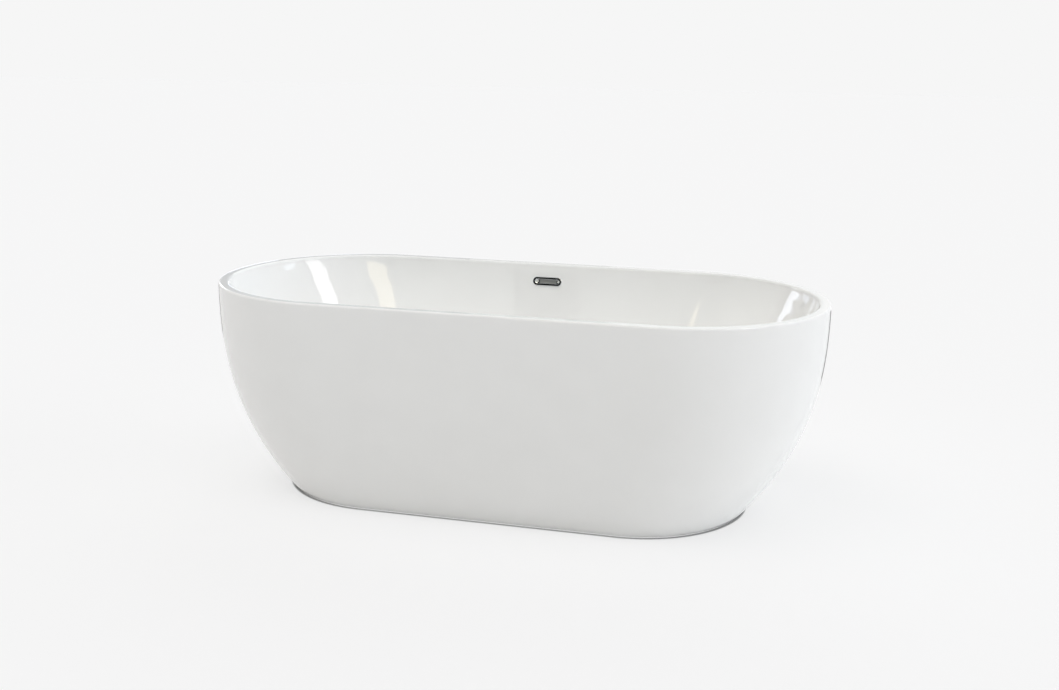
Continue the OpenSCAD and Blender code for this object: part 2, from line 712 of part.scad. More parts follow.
// Where the hose's middle line runs, from the tee up: [y, z, slope of the line].
hose_line = concat(
    [[hose_foot_y, inlet_z, 0]],
    [for (i = [0:bend_steps]) let (p = hose_turn * i / bend_steps)
        [hose_corner_y - hose_tangent + hose_bend * sin(p), inlet_z + hose_bend * (1 - cos(p)), p]],
    [[hose_top_y, hose_top_z, hose_turn]]);
function hose_loops(r) = [for (h = hose_line) [for (i = [0:hose_sides - 1])
    let (a = 360 * i / hose_sides)
    [r * cos(a), h[0] - r * sin(a) * sin(h[2]), h[1] + r * sin(a) * cos(h[2])]]];

module overflow_hose() color("lightgray") skin(joined = true, loops = concat(
    reversed(hose_loops(hose_d / 2)),
    hose_loops((hose_d / 2 - hose_wall) / cos(180 / hose_sides))));

clamp_t = 1;
clamp_screw = [6, 14];              // height and length of the clamp's screw housing
clamp_inset = 6;                    // of a clamp from the end of the hose
module clamp() {
    difference() {
        cylinder(d = hose_d + 2 * running + 2 * clamp_t, h = clamp_w);
        translate([0, 0, -eps]) cylinder(d = hose_d + 2 * running, h = clamp_w + 2 * eps);
    }
    translate([hose_d / 2 + clamp_t, -clamp_screw[1] / 2, 0])
        cube([clamp_screw[0], clamp_screw[1], clamp_w]);
}

module hose_clamps() color("silver") {
    translate([0, hose_top_y, hose_top_z]) rotate([180 - overflow_tilt, 0, 0])
        translate([0, 0, clamp_inset]) clamp();
    translate([0, hose_foot_y + clamp_inset + clamp_w, inlet_z]) rotate([90, 0, 0]) clamp();
}

// ---------------------------------------------------------------- nodes

inner_bowl();
bowl_laminate();
outer_skirt();
skirt_laminate();
rim_lap_strip();
base_board();
frame_rail(-1);  // frame_rail_front
frame_rail(1);  // frame_rail_back
frame_cross_tubes();
frame_outriggers();
frame_tabs();
board_screws();
bonding_blocks();
foot_sleeve_nuts();
foot_lock_nuts();
for (i = [0:4]) {
    foot_stud(i);
    foot_pad(i);
}
drain_flange();
flange_seal();
drain_gasket();
drain_lock_nut();
waste_tee();
tailpiece();
tailpiece_nut();
tailpiece_washer();
plug_cap();
plug_seal();
plug_plunger();
plug_cartridge();
plug_spring();
overflow_trim();
overflow_gasket();
overflow_housing();
overflow_screws();
overflow_hose();
hose_clamps();
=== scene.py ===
import json
import math
from contextlib import contextmanager
from functools import partial

import bmesh
import bpy
from mathutils import Matrix, Vector


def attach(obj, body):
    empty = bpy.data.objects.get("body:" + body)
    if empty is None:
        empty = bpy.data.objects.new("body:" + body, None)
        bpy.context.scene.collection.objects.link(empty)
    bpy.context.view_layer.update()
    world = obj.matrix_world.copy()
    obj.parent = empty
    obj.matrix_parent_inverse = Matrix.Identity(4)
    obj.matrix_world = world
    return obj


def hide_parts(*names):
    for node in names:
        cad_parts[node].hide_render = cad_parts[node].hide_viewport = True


# Freestanding oval bath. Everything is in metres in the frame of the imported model: the origin is
# on the floor under the middle of the bath, +X along its length, +Y to the overflow side.
# The sizes in the pieces' dictionaries are in millimetres.

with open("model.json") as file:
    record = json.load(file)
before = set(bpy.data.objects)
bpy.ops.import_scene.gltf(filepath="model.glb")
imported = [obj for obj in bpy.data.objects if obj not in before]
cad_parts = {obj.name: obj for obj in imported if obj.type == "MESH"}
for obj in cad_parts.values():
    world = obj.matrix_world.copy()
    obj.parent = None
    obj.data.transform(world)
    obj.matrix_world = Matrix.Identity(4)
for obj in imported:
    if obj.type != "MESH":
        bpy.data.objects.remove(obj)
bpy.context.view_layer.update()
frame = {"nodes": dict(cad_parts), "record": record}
scene = bpy.context.scene
mm = 0.001
quarter = math.pi / 2                    # a quarter turn


def addNode(tree, kind, *inputs, out=0, **settings):
    # Adds a node with its settings and links and gives one of its outputs, or the node itself if
    # out is None. Inputs come in their order, or by name in a dictionary. A kind that names no
    # family is a shader node, and a second word is the operation that it does.
    kind, _, operation = kind.partition(" ")
    node = tree.nodes.new(kind if "Node" in kind else "ShaderNode" + kind)
    if operation:
        node.operation = operation
    for name, value in settings.items():
        setattr(node, name, value)
    named = inputs[0] if inputs and isinstance(inputs[0], dict) else dict(enumerate(inputs))
    for name, value in named.items():
        if isinstance(value, bpy.types.NodeSocket):
            tree.links.new(value, node.inputs[name])
        else:
            node.inputs[name].default_value = value
    return node if out is None else node.outputs[out]


def nodesOf(owner):
    # empties the node tree of a material or a world, and gives addNode for it
    owner.use_nodes = True
    owner.node_tree.nodes.clear()
    return partial(addNode, owner.node_tree)


def linear(hexColour):
    # sRGB hex to the linear values that Blender's sockets hold
    values = [int(hexColour[i:i + 2], 16) / 255 for i in (1, 3, 5)]
    return [v / 12.92 if v <= 0.04045 else ((v + 0.055) / 1.055) ** 2.4 for v in values] + [1.0]


cameraValues = {
    "lens": 43.35,                       # millimetres on a sensor this wide
    "sensor": 36,
    "place": (0.9227, -3.3298, 1.2414),  # metres
    "azimuth": 14.82,                    # degrees round from the long front side
    "elevation": 13.48,
    "roll": 0.61,
    "farthest": 60,                      # metres
}


def makeCamera(values):
    data = bpy.data.cameras.new("studioCamera")
    data.lens = values["lens"]
    data.sensor_width = values["sensor"]
    data.clip_end = values["farthest"]
    camera = bpy.data.objects.new("studioCamera", data)
    scene.collection.objects.link(camera)
    turn = (Matrix.Rotation(math.radians(values["azimuth"]), 4, "Z")
            @ Matrix.Rotation(math.radians(90 - values["elevation"]), 4, "X")
            @ Matrix.Rotation(math.radians(values["roll"]), 4, "Z"))
    camera.matrix_world = Matrix.Translation(values["place"]) @ turn
    scene.camera = camera


makeCamera(cameraValues)
print("camera placed")

# Widths of grain and depths of relief in the materials are real ones, in metres.


def newMaterial(name):
    material = bpy.data.materials.new(name)
    return material, nodesOf(material)


def coated(material, node, values):
    # ends a material with its surface
    node("OutputMaterial", {"Surface": node("BsdfPrincipled", values)}, out=None)
    return material


def sanitaryAcrylic(waviness=0.09, haziness=0.03):
    # cast acrylic sheet, vacuum formed and polished: a deep gloss over an even white, with a
    # faint waviness from the forming
    material, node = newMaterial("sanitaryAcrylic")
    place = node("TexCoord", out="Object")
    waves = node("TexNoise", {"Vector": place, "Scale": 1 / waviness, "Detail": 1.0})
    haze = node("TexNoise", {"Vector": place, "Scale": 1 / haziness, "Detail": 3.0})
    white = node("Mix", {0: waves, 6: linear("#F6F6F4"), 7: linear("#F9F9F7")}, out=2, data_type="RGBA")
    return coated(material, node, {
        "Base Color": white, "Roughness": node("MapRange", {0: haze, 3: 0.015, 4: 0.035}), "IOR": 1.49,
        "Normal": node("Bump", {"Height": waves, "Distance": 0.00008, "Strength": 1.0})})


def glassFibreLaminate(strandWidth=0.022, lumpWidth=0.035):
    # chopped strand mat in polyester resin, rolled by hand: matt, straw-coloured, lumpy
    material, node = newMaterial("glassFibreLaminate")
    place = node("TexCoord", out="Object")
    strands = 0.0
    for angle in (0.3, 1.4, 2.5):
        turned = node("Mapping", {"Vector": place, "Rotation": (angle, 0.5, angle),
                                  "Scale": (1.0, 9.0, 9.0)})
        layer = node("TexNoise", {"Vector": turned, "Scale": 1 / strandWidth, "Detail": 2.0})
        strands = node("Math MAXIMUM", strands, layer)
    lumps = node("TexNoise", {"Vector": place, "Scale": 1 / lumpWidth, "Detail": 3.0})
    tone = node("MapRange", {0: strands, 3: -0.8, 4: 1.6})
    straw = node("Mix", {0: tone, 6: linear("#A3946B"), 7: linear("#D8CFAE")}, out=2, data_type="RGBA")
    relief = node("Bump", {"Height": lumps, "Distance": 0.0012, "Strength": 1.0})
    relief = node("Bump", {"Height": strands, "Distance": 0.0006, "Strength": 1.0, "Normal": relief})
    return coated(material, node, {
        "Base Color": straw, "Roughness": node("MapRange", {0: lumps, 3: 0.35, 4: 0.7}),
        "Normal": relief})


def particleBoard(chipWidth=0.005):
    # raw board: pressed chips a few millimetres long
    material, node = newMaterial("particleBoard")
    place = node("TexCoord", out="Object")
    chips = node("TexVoronoi", {"Vector": place, "Scale": 1 / chipWidth}, out="Color")
    tone = node("SeparateColor", chips)
    wood = node("Mix", {0: tone, 6: linear("#A98254"), 7: linear("#D0AE7D")}, out=2, data_type="RGBA")
    return coated(material, node, {
        "Base Color": wood, "Roughness": 0.8,
        "Normal": node("Bump", {"Height": tone, "Distance": 0.0002, "Strength": 1.0})})


# The other finishes, by slot, have one grain, which tints them and may roughen or raise them.
# "drawn" lengthens the grain along the axes with small numbers.
grained = {
    # welded square tube, zinc plated: a cloudy blue-grey bloom over drawn metal
    "zinc_plated_steel": {
        "name": "zincPlatedSteel", "width": 0.02, "detail": 4.0, "softness": 0.6,
        "colours": ("#8F9397", "#C3C7CB"), "roughness": (0.28, 0.48), "metal": 1.0,
        "depth": 0.00005, "reliefWidth": 0.003},
    # yellow passivated screws
    "yellow_zinc_screws": {
        "name": "yellowZinc", "width": 0.003, "colours": ("#B8923E", "#DDC37A"), "roughness": 0.3,
        "metal": 1.0},
    # filled polyester paste, trowelled on
    "bonding_paste": {
        "name": "bondingPaste", "width": 0.008, "detail": 3.0, "colours": ("#C4B68B", "#E2D8B4"),
        "roughness": 0.7, "depth": 0.0015},
    # moulded glass-filled nylon with a fine spark-eroded grain
    "black_nylon": {
        "name": "blackNylon", "width": 0.0008, "colours": ("#151516", "#242426"), "roughness": 0.5,
        "depth": 0.00006},
    # brass castings, polished and chromed: a mirror with a few faint wiping marks
    "chromed_brass": {
        "name": "chromedBrass", "width": 0.006, "detail": 3.0, "colours": ("#D6D7D9",),
        "roughness": (0.01, 0.035), "metal": 1.0},
    # turned brass with tool marks round it
    "raw_brass": {
        "name": "rawBrass", "width": 0.0008, "drawn": (0.1, 0.1, 1.0),
        "colours": ("#A8823F", "#D3B06A"),
        "roughness": 0.3, "metal": 1.0, "depth": 0.00005},
    # moulded waste fittings: slightly waxy white plastic
    "white_polypropylene": {
        "name": "whitePolypropylene", "width": 0.0015, "colours": ("#DCDCD7", "#E8E8E4"),
        "roughness": (0.35, 0.45), "depth": 0.00004, "waxy": 0.1, "waxDepth": (0.002, 0.002, 0.0018)},
    # extruded hose, satin grey
    "grey_pvc_hose": {
        "name": "greyPvc", "width": 0.004, "colours": ("#96999B", "#A9ACAE"), "roughness": 0.42},
    # moulded gaskets and washers, matt with a dusty bloom
    "black_rubber": {
        "name": "blackRubber", "width": 0.004, "detail": 3.0, "colours": ("#131313", "#262626"),
        "roughness": 0.65},
    # rolled strip and drawn wire, lightly brushed
    "stainless_steel": {
        "name": "stainlessSteel", "width": 0.0006, "drawn": (1.0, 1.0, 0.08),
        "colours": ("#A7A9AB", "#C9CBCD"), "roughness": (0.2, 0.35), "metal": 1.0},
}


def grainedFinish(v):
    material, node = newMaterial(v["name"])
    place = node("TexCoord", out="Object")
    if "drawn" in v:
        place = node("Mapping", {"Vector": place, "Scale": v["drawn"]})
    grain = node("TexNoise", {"Vector": place, "Scale": 1 / v["width"], "Detail": v.get("detail", 2.0),
                              "Roughness": v.get("softness", 0.5)})
    colours, roughness = [linear(colour) for colour in v["colours"]], v["roughness"]
    values = {"Base Color": colours[0], "Roughness": roughness, "Metallic": v.get("metal", 0.0)}
    if len(colours) > 1:
        values["Base Color"] = node("Mix", {0: grain, 6: colours[0], 7: colours[1]}, out=2,
                                    data_type="RGBA")
    if isinstance(roughness, tuple):
        values["Roughness"] = node("MapRange", {0: grain, 3: roughness[0], 4: roughness[1]})
    if "waxy" in v:
        values.update({"Subsurface Weight": v["waxy"], "Subsurface Radius": v["waxDepth"]})
    if "depth" in v:
        relief = grain
        if "reliefWidth" in v:
            relief = node("TexNoise", {"Vector": place, "Scale": 1 / v["reliefWidth"], "Detail": 2.0})
        values["Normal"] = node("Bump", {"Height": relief, "Distance": v["depth"], "Strength": 1.0})
    return coated(material, node, values)


finishes = {"sanitary_acrylic": sanitaryAcrylic(), "glass_fibre_laminate": glassFibreLaminate(),
            "particle_board": particleBoard()}
finishes.update({slotName: grainedFinish(values) for slotName, values in grained.items()})
print("materials made:", len(finishes))

nodeSlots = {row["node"]: row["material_slot"] for row in frame["record"]["subparts"]}
for nodeName, slotName in nodeSlots.items():
    mesh = frame["nodes"][nodeName].data
    mesh.materials.clear()
    mesh.materials.append(finishes[slotName])


def newTree(name, first, numbers=None, counts=None, objects=()):
    # a Geometry Nodes tree with named inputs: the mesh that it grows from, lengths or angles,
    # counts, objects, and the material that it ends in
    tree = bpy.data.node_groups.new(name, "GeometryNodeTree")
    socket = partial(tree.interface.new_socket, in_out="INPUT")
    socket(first, socket_type="NodeSocketGeometry")
    for kind, values in (("NodeSocketFloat", numbers), ("NodeSocketInt", counts)):
        for socketName, value in (values or {}).items():
            socket(socketName, socket_type=kind).default_value = value
    for socketName in objects:
        socket(socketName, socket_type="NodeSocketObject")
    socket("material", socket_type="NodeSocketMaterial")
    tree.interface.new_socket("Mesh", in_out="OUTPUT", socket_type="NodeSocketGeometry")
    return tree, addNode(tree, "NodeGroupInput", out=None).outputs


def endTree(tree, mesh, material):
    real = addNode(tree, "GeometryNodeRealizeInstances", mesh)
    painted = addNode(tree, "GeometryNodeSetMaterial", {0: real, "Material": material})
    addNode(tree, "NodeGroupOutput", painted, out=None)
    return tree


def profileGrid(tree, profile, columns):
    # a grid with a column for each step round and a row for each point of the profile mesh:
    # the grid's mesh, each point's column, and the three values held by its row's point
    node = partial(addNode, tree)
    rows = node("GeometryNodeAttributeDomainSize", {0: profile})
    grid = node("GeometryNodeMeshGrid", {"Vertices X": columns, "Vertices Y": rows})
    index = node("GeometryNodeInputIndex")
    row = node("Math MODULO", index, rows)
    column = node("Math FLOOR", node("Math DIVIDE", node("Math ADD", index, 0.5), rows))
    place = node("GeometryNodeInputPosition")
    held = node("GeometryNodeSampleIndex", {0: profile, "Value": place, "Index": row},
                data_type="FLOAT_VECTOR")
    return grid, column, node("SeparateXYZ", held, out=None).outputs


def placed(tree, grid, place, weld=0.000004):
    # the grid's points at their places, with the seam and the poles closed
    moved = addNode(tree, "GeometryNodeSetPosition", {0: grid, "Position": place})
    return addNode(tree, "GeometryNodeMergeByDistance", {0: moved, "Distance": weld})


def makeLoftTree():
    # Sweeps a profile round a stadium. Each point of the incoming mesh holds half the length,
    # half the width and the height of one ring, which has round ends and straight sides.
    tree, given = newTree("loftRoundTheBath", "Profile", numbers={"sharpAngle": 0.6},
                          counts={"endSteps": 96, "sideSteps": 12})
    node = partial(addNode, tree)
    half = node("Math ADD", node("Math MULTIPLY", given["sideSteps"], 2), given["endSteps"])
    columns = node("Math ADD", node("Math MULTIPLY", half, 2), 1)
    grid, column, size = profileGrid(tree, given["Profile"], columns)
    # steps from the middle of the front side, the same on the left as on the right
    away = node("Math SUBTRACT", half, node("Math ABSOLUTE", node("Math SUBTRACT", column, half)))
    side = node("Math SIGN", node("Math SUBTRACT", node("Math ADD", half, 0.5), column))
    run = node("Math MINIMUM", node("Math DIVIDE", away, given["sideSteps"]),
               node("Math DIVIDE", node("Math SUBTRACT", half, away), given["sideSteps"]))
    run = node("Math MINIMUM", run, 1.0)
    sideEnd = node("Math ADD", given["sideSteps"], given["endSteps"])
    turn = node("MapRange", {0: away, 1: given["sideSteps"], 2: sideEnd, 3: -quarter, 4: quarter})
    straight = node("Math SUBTRACT", size[0], size[1])
    endX, endY = (node("Math MULTIPLY", size[1], node(wave, turn))
                  for wave in ("Math COSINE", "Math SINE"))
    x = node("Math MULTIPLY_ADD", straight, run, endX)
    place = node("CombineXYZ", node("Math MULTIPLY", x, side), endY, size[2])
    smooth = node("GeometryNodeSetShadeSmooth", placed(tree, grid, place))
    angle = node("GeometryNodeInputMeshEdgeAngle")
    sharp = node("FunctionNodeCompare", {0: angle, 1: given["sharpAngle"]})
    edged = node("GeometryNodeSetShadeSmooth",
                 {0: smooth, "Selection": sharp, "Shade Smooth": False}, domain="EDGE")
    return endTree(tree, edged, given["material"])


def pointMesh(name, points, edges=()):
    # points in millimetres
    mesh = bpy.data.meshes.new(name)
    mesh.from_pydata([Vector(point) * mm for point in points], list(edges), [])
    return mesh


def newPiece(name, mesh):
    piece = bpy.data.objects.new(name, mesh)
    scene.collection.objects.link(piece)
    return piece


@contextmanager
def editing(mesh):
    # a mesh opened for bmesh, and written back at the end of the with block
    edit = bmesh.new()
    edit.from_mesh(mesh)
    yield edit
    edit.to_mesh(mesh)
    edit.free()


def applyModifiers(piece):
    # puts what the modifiers make in the place of the piece's own mesh
    bpy.context.view_layer.update()
    mesh = bpy.data.meshes.new_from_object(piece.evaluated_get(bpy.context.evaluated_depsgraph_get()))
    piece.modifiers.clear()
    piece.data = mesh
    mesh.name = piece.name
    return mesh


def growTree(name, mesh, tree, slotName, **values):
    # runs a Geometry Nodes tree on a mesh and keeps the result as a plain mesh
    piece = newPiece(name, mesh)
    modifier = piece.modifiers.new("grow", "NODES")
    modifier.node_group = tree
    values["material"] = finishes[slotName]
    for socket in tree.interface.items_tree:
        if socket.in_out == "INPUT" and socket.name in values:
            modifier[socket.identifier] = values[socket.name]
    applyModifiers(piece)
    return piece


def settle(piece, replaced, body="root"):
    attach(piece, body)
    if replaced:
        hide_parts(*replaced)
    print("  made", piece.name, len(piece.data.polygons), "faces")
    return piece


loftTree = makeLoftTree()


def loft(name, profile, slotName, endSteps=96, sideSteps=12, sharpAngle=0.6):
    # profile: rings as (half length, half width, height) in millimetres
    return growTree(name, pointMesh(name, profile), loftTree, slotName,
                    endSteps=endSteps, sideSteps=sideSteps, sharpAngle=sharpAngle)


def loftPiece(name, profile, slotName, replaced, place=None, body="root", **steps):
    piece = loft(name, profile, slotName, **steps)
    if place:
        piece.data.transform(place)
    return settle(piece, replaced, body)


bath = {
    "length": 1700, "width": 800, "height": 580,
    "rimWidth": 30, "rimInnerRound": 8, "rimOuterRound": 6, "rimDrop": 27,
    "endWallRun": 215, "sideWallRun": 120, "wallCurve": 1.15,
    "floorRound": 90, "floorFall": 5, "depth": 430,
    "landingLength": 200, "landingWidth": 130, "wasteHole": 48.4,
    "overflowHeight": 528, "bandHalf": 20,
    "skirtEndInset": 195, "skirtSideInset": 95, "skirtCurve": 2.6, "skirtGap": 5,
    "acrylic": 4, "bond": 0.3, "laminate": 3, "floorLaminate": 6, "laminateTop": 548,
    "laminateInset": 29,
    "laminateRaise": 6, "lapHeight": 36, "lapGap": 2,
    # the overflow's hole, and how far its cutter reaches into the bath and behind the laminate
    "slotCutLength": 81.6, "slotCutHeight": 17.6, "slotCutReach": 12, "laminateCutReach": 14,
}
rimFoot = bath["height"] - bath["rimDrop"]
wallTop = bath["height"] - bath["rimInnerRound"]
landing = bath["height"] - bath["depth"]
floorEdge = landing + bath["floorFall"]


def spread(count, low=0.0, high=1.0):
    return [low + (high - low) * i / count for i in range(count + 1)]


def skirtRing(z, inwards=0.0):
    tall, curve = bath["height"] - bath["skirtGap"], bath["skirtCurve"]
    depth = (bath["height"] - z) / tall
    ring = []
    for whole, inset in ((bath["length"], bath["skirtEndInset"]),
                         (bath["width"], bath["skirtSideInset"])):
        lean = inset * curve * depth ** (curve - 1) / tall
        ring.append(whole / 2 - inset * depth ** curve - inwards * math.hypot(1, lean))
    return (*ring, z)


def wallRing(z, inwards=0.0):
    share = ((wallTop - z) / (wallTop - floorEdge)) ** bath["wallCurve"]
    return (bath["length"] / 2 - bath["rimWidth"] - bath["endWallRun"] * share - inwards,
            bath["width"] / 2 - bath["rimWidth"] - bath["sideWallRun"] * share - inwards, z)


def rimRing(inwards, z):
    return (bath["length"] / 2 - inwards, bath["width"] / 2 - inwards, z)


def wetProfile():
    # rim's outer edge, over the rim, down the wall and across the floor to the landing
    rings = [skirtRing(rimFoot + rise) for rise in (0.0, 0.4, 4, 10, 16)]
    for t in spread(10):
        angle = quarter * t
        r = bath["rimOuterRound"]
        rings.append(rimRing(r * (1 - math.cos(angle)), bath["height"] - r * (1 - math.sin(angle))))
    for t in spread(12):
        angle = quarter * (1 - t)
        r = bath["rimInnerRound"]
        rings.append(rimRing(bath["rimWidth"] - r * (1 - math.cos(angle)),
                             wallTop + r * math.sin(angle)))
    wallFoot = floorEdge + bath["floorRound"]
    bandTop = bath["overflowHeight"] + bath["bandHalf"]
    bandFoot = bath["overflowHeight"] - bath["bandHalf"]
    rings += [wallRing(wallTop - (wallTop - bandTop) * t ** 1.5) for t in spread(8)[1:]]
    # the band of wall that the overflow sits on is flat from top to bottom
    above, below = wallRing(bandTop), wallRing(bandFoot)
    for t in (0.1, 0.22, 0.78, 0.9):
        rings.append(tuple(a + (b - a) * t for a, b in zip(above, below)))
    rings += [wallRing(bandFoot + (wallFoot - bandFoot) * t) for t in spread(28)]
    for t in spread(20)[1:]:
        angle = quarter * (1 - t)
        r = bath["floorRound"]
        rings.append(wallRing(floorEdge + r * (1 - math.cos(angle)), r * (1 - math.sin(angle))))
    edge, inner = rings[-1], (bath["landingLength"] / 2, bath["landingWidth"] / 2)
    for t in spread(10)[1:]:
        fall = bath["floorFall"] * (1 - math.cos(math.pi * t)) / 2
        rings.append((edge[0] + (inner[0] - edge[0]) * t, edge[1] + (inner[1] - edge[1]) * t,
                      floorEdge - fall))
    return rings


def behind(rings, t):
    # the same rings, moved t to the dry side
    moved = []
    for i, ring in enumerate(rings):
        before, after = rings[max(i - 1, 0)], rings[min(i + 1, len(rings) - 1)]
        run, rise = before[1] - after[1], before[2] - after[2]
        size = math.hypot(run, rise)
        moved.append((ring[0] + t * rise / size, ring[1] + t * rise / size, ring[2] - t * run / size))
    return moved


def bowlProfile():
    wet = wetProfile()
    dry = behind(wet, bath["acrylic"])
    hole = bath["wasteHole"] / 2
    rings = wet + [(hole, hole, landing), (hole, hole, landing - bath["acrylic"])]
    return rings + dry[::-1] + [wet[0]]


def skirtProfile(top, foot, outer, inner, steps=48, edge=0.4):
    levels = spread(steps, foot, top)
    rings = [skirtRing(foot + edge, outer)] + [skirtRing(z, outer) for z in levels[1:-1]]
    rings += [skirtRing(top - edge, outer), skirtRing(top, outer), skirtRing(top, inner)]
    rings += [skirtRing(z, inner) for z in levels[::-1][1:-1]]
    rings += [skirtRing(foot, inner), skirtRing(foot, (outer + inner) / 2),
              skirtRing(foot, outer + edge)]
    return rings + [rings[0]]


def prisms(name, outlines, low, high, place):
    # flat outlines raised from low to high on the axes of place, in millimetres
    points, faces = [], []
    for outline in outlines:
        first, n = len(points), len(outline)
        points += [place @ Vector((x * mm, y * mm, z * mm)) for z in (low, high) for x, y in outline]
        foot, top = range(first, first + n), range(first + n, first + 2 * n)
        faces += [foot[::-1], top]
        faces += [(foot[i - 1], foot[i], top[i], top[i - 1]) for i in range(n)]
    mesh = bpy.data.meshes.new(name)
    mesh.from_pydata(points, [], [tuple(face) for face in faces])
    return newPiece(name, mesh)


def roundEnd(centre, radius, steps):
    # half a circle on the +X side
    return [(centre + radius * math.cos(t), radius * math.sin(t))
            for t in spread(steps, -quarter, quarter)]


def cutOut(piece, cutters, sharpDegrees=30):
    # cuts the cutters out of the piece and removes them
    for cutter in cutters:
        modifier = piece.modifiers.new("cut", "BOOLEAN")
        modifier.object = cutter
        modifier.operation = "DIFFERENCE"
        modifier.solver = "EXACT"
    applyModifiers(piece).set_sharp_from_angle(angle=math.radians(sharpDegrees))
    for cutter in cutters:
        bpy.data.objects.remove(cutter)


bandTopRing = wallRing(bath["overflowHeight"] + bath["bandHalf"])
bandFootRing = wallRing(bath["overflowHeight"] - bath["bandHalf"])
overflowTilt = math.atan2(bandTopRing[1] - bandFootRing[1], 2 * bath["bandHalf"])
# the overflow's own axes: +Z out of the wall into the bath, +Y up the wall
overflowMiddle = Vector((0, (bandTopRing[1] + bandFootRing[1]) / 2, bath["overflowHeight"])) * mm
overflowPlace = Matrix.Translation(overflowMiddle) @ Matrix.Rotation(quarter - overflowTilt, 4, "X")


def cutSlot(piece, behindWall):
    r = bath["slotCutHeight"] / 2
    outline = roundEnd(bath["slotCutLength"] / 2 - r, r, 24)
    outline += [(-x, -y) for x, y in outline]
    cutOut(piece, [prisms("slotCutter", [outline], -behindWall, bath["slotCutReach"], overflowPlace)])


bowl = loftPiece("bowl", bowlProfile(), "sanitary_acrylic", ["inner_bowl"])
cutSlot(bowl, bath["slotCutReach"])
loftPiece("skirt", skirtProfile(rimFoot, bath["skirtGap"], 0.0, bath["acrylic"]),
          "sanitary_acrylic", ["outer_skirt"])
print("shells lofted")


def laminateProfile():
    # the glass fibre behind the bowl, from under the rim down to the board and the waste hole
    wet = [ring for ring in wetProfile()
           if ring[2] <= bath["laminateTop"] and ring[0] < bath["length"] / 2 - bath["laminateInset"]]
    front = behind(wet, bath["acrylic"] + bath["bond"])
    back = behind(wet, bath["acrylic"] + bath["bond"] + bath["laminate"])
    boardTop = landing - bath["acrylic"] - bath["bond"] - bath["floorLaminate"]
    hole = bath["wasteHole"] / 2
    back = [ring for ring in back if ring[2] > boardTop + 1]
    foot = back[-1]
    rings = front + [(hole, hole, front[-1][2]), (hole, hole, boardTop),
                     (foot[0] - 3, foot[1] - 3, boardTop)]
    rings += back[::-1]
    return rings + [front[0]]


skirtBack = bath["acrylic"] + bath["bond"]
laminateBack = skirtBack + bath["laminate"]
lapFoot = rimFoot - bath["lapHeight"] / 2
bowlLaminate = loftPiece("bowlLaminate", laminateProfile(), "glass_fibre_laminate", ["bowl_laminate"])
cutSlot(bowlLaminate, bath["laminateCutReach"])
loftPiece("skirtLaminate",
          skirtProfile(lapFoot - bath["lapGap"], bath["skirtGap"] + bath["laminateRaise"], skirtBack,
                       laminateBack),
          "glass_fibre_laminate", ["skirt_laminate"])
loftPiece("lapStrip", skirtProfile(lapFoot + bath["lapHeight"], lapFoot, skirtBack, laminateBack, 8),
          "glass_fibre_laminate", ["rim_lap_strip"])
print("laminates laid")


trim = {
    "length": 89, "height": 26, "lip": 3, "edgeRound": 0.7, "innerRound": 0.6,
    "slotLength": 76, "slotHeight": 12, "sleeveWall": 1.8, "sleeveFoot": -10.3, "standOff": 0.2,
    "lug": 2, "lugReach": 11, "lugOverlap": 0.4, "faceEdge": 0.04,
}


def arc(centre, radius, first, last, steps):
    # points on a part of a circle in the plane of inset and height, angles in degrees
    turns = [math.radians(angle) for angle in spread(steps, first, last)]
    return [(centre[0] + radius * math.cos(t), centre[1] + radius * math.sin(t)) for t in turns]


def trimProfile(v):
    face = v["standOff"] + v["lip"]
    r, q = v["edgeRound"], v["innerRound"]
    top, inner = v["height"] / 2, v["slotHeight"] / 2
    outer = [(top, v["standOff"]), (top, v["standOff"] + 0.3)]
    outer += arc((top - r, face - r), r, 0, 90, 6)
    # rings close to both roundings keep the face between them flat in its reflections
    outer += [(inner + q + (top - r - inner - q) * t, face) for t in (1 - v["faceEdge"], v["faceEdge"])]
    outer += [(2 * (inner + q) - x, z) for x, z in arc((inner + q, face - q), q, 90, 0, 6)]
    sleeve, foot = inner + v["sleeveWall"], v["sleeveFoot"]
    outer += [(inner, 0.5), (inner, foot + 0.3), (inner, foot), (sleeve, foot),
              (sleeve, foot + 0.3), (sleeve, v["standOff"]), (top, v["standOff"])]
    rounding = (v["length"] - v["height"]) / 2
    return [(rounding + x, x, z) for x, z in outer]


loftPiece("overflowTrim", trimProfile(trim), "chromed_brass", ["overflow_trim"],
          endSteps=48, sideSteps=4, place=overflowPlace)


def makeLugs(v):
    # plates at both ends of the sleeve, which the screws go through
    r, reach = v["slotHeight"] / 2 + v["lugOverlap"], v["slotLength"] / 2 - v["lugReach"]
    outline = [(reach, -r), *roundEnd((v["slotLength"] - v["slotHeight"]) / 2, r, 16), (reach, r)]
    piece = prisms("overflowLugs", [[(-x, y) for x, y in outline[::-1]], outline],
                   v["sleeveFoot"] + 0.05, v["sleeveFoot"] + v["lug"], overflowPlace)
    piece.data.materials.append(finishes["chromed_brass"])
    return piece


settle(makeLugs(trim), ["overflow_trim"])
print("overflow made")


waste = {
    "landing": 150, "seal": 2, "flange": 3, "flangeAcross": 70, "flangeRound": 2.4, "edge": 0.8,
    "body": 48, "bore": 40, "bodyDepth": 48, "seat": 5,
    "spiderFoot": 118, "spiderHeight": 6, "spiderBar": 3, "spiderRound": 0.3, "boss": 14,
    "capAcross": 64, "capFoot": 156, "capHeight": 5, "hubAcross": 34, "hubFoot": 149, "rodBore": 7.1,
}


def roundProfile(points):
    # a turned profile: radius is both half length and half width of each ring
    return [(r, r, z) for r, z in points]


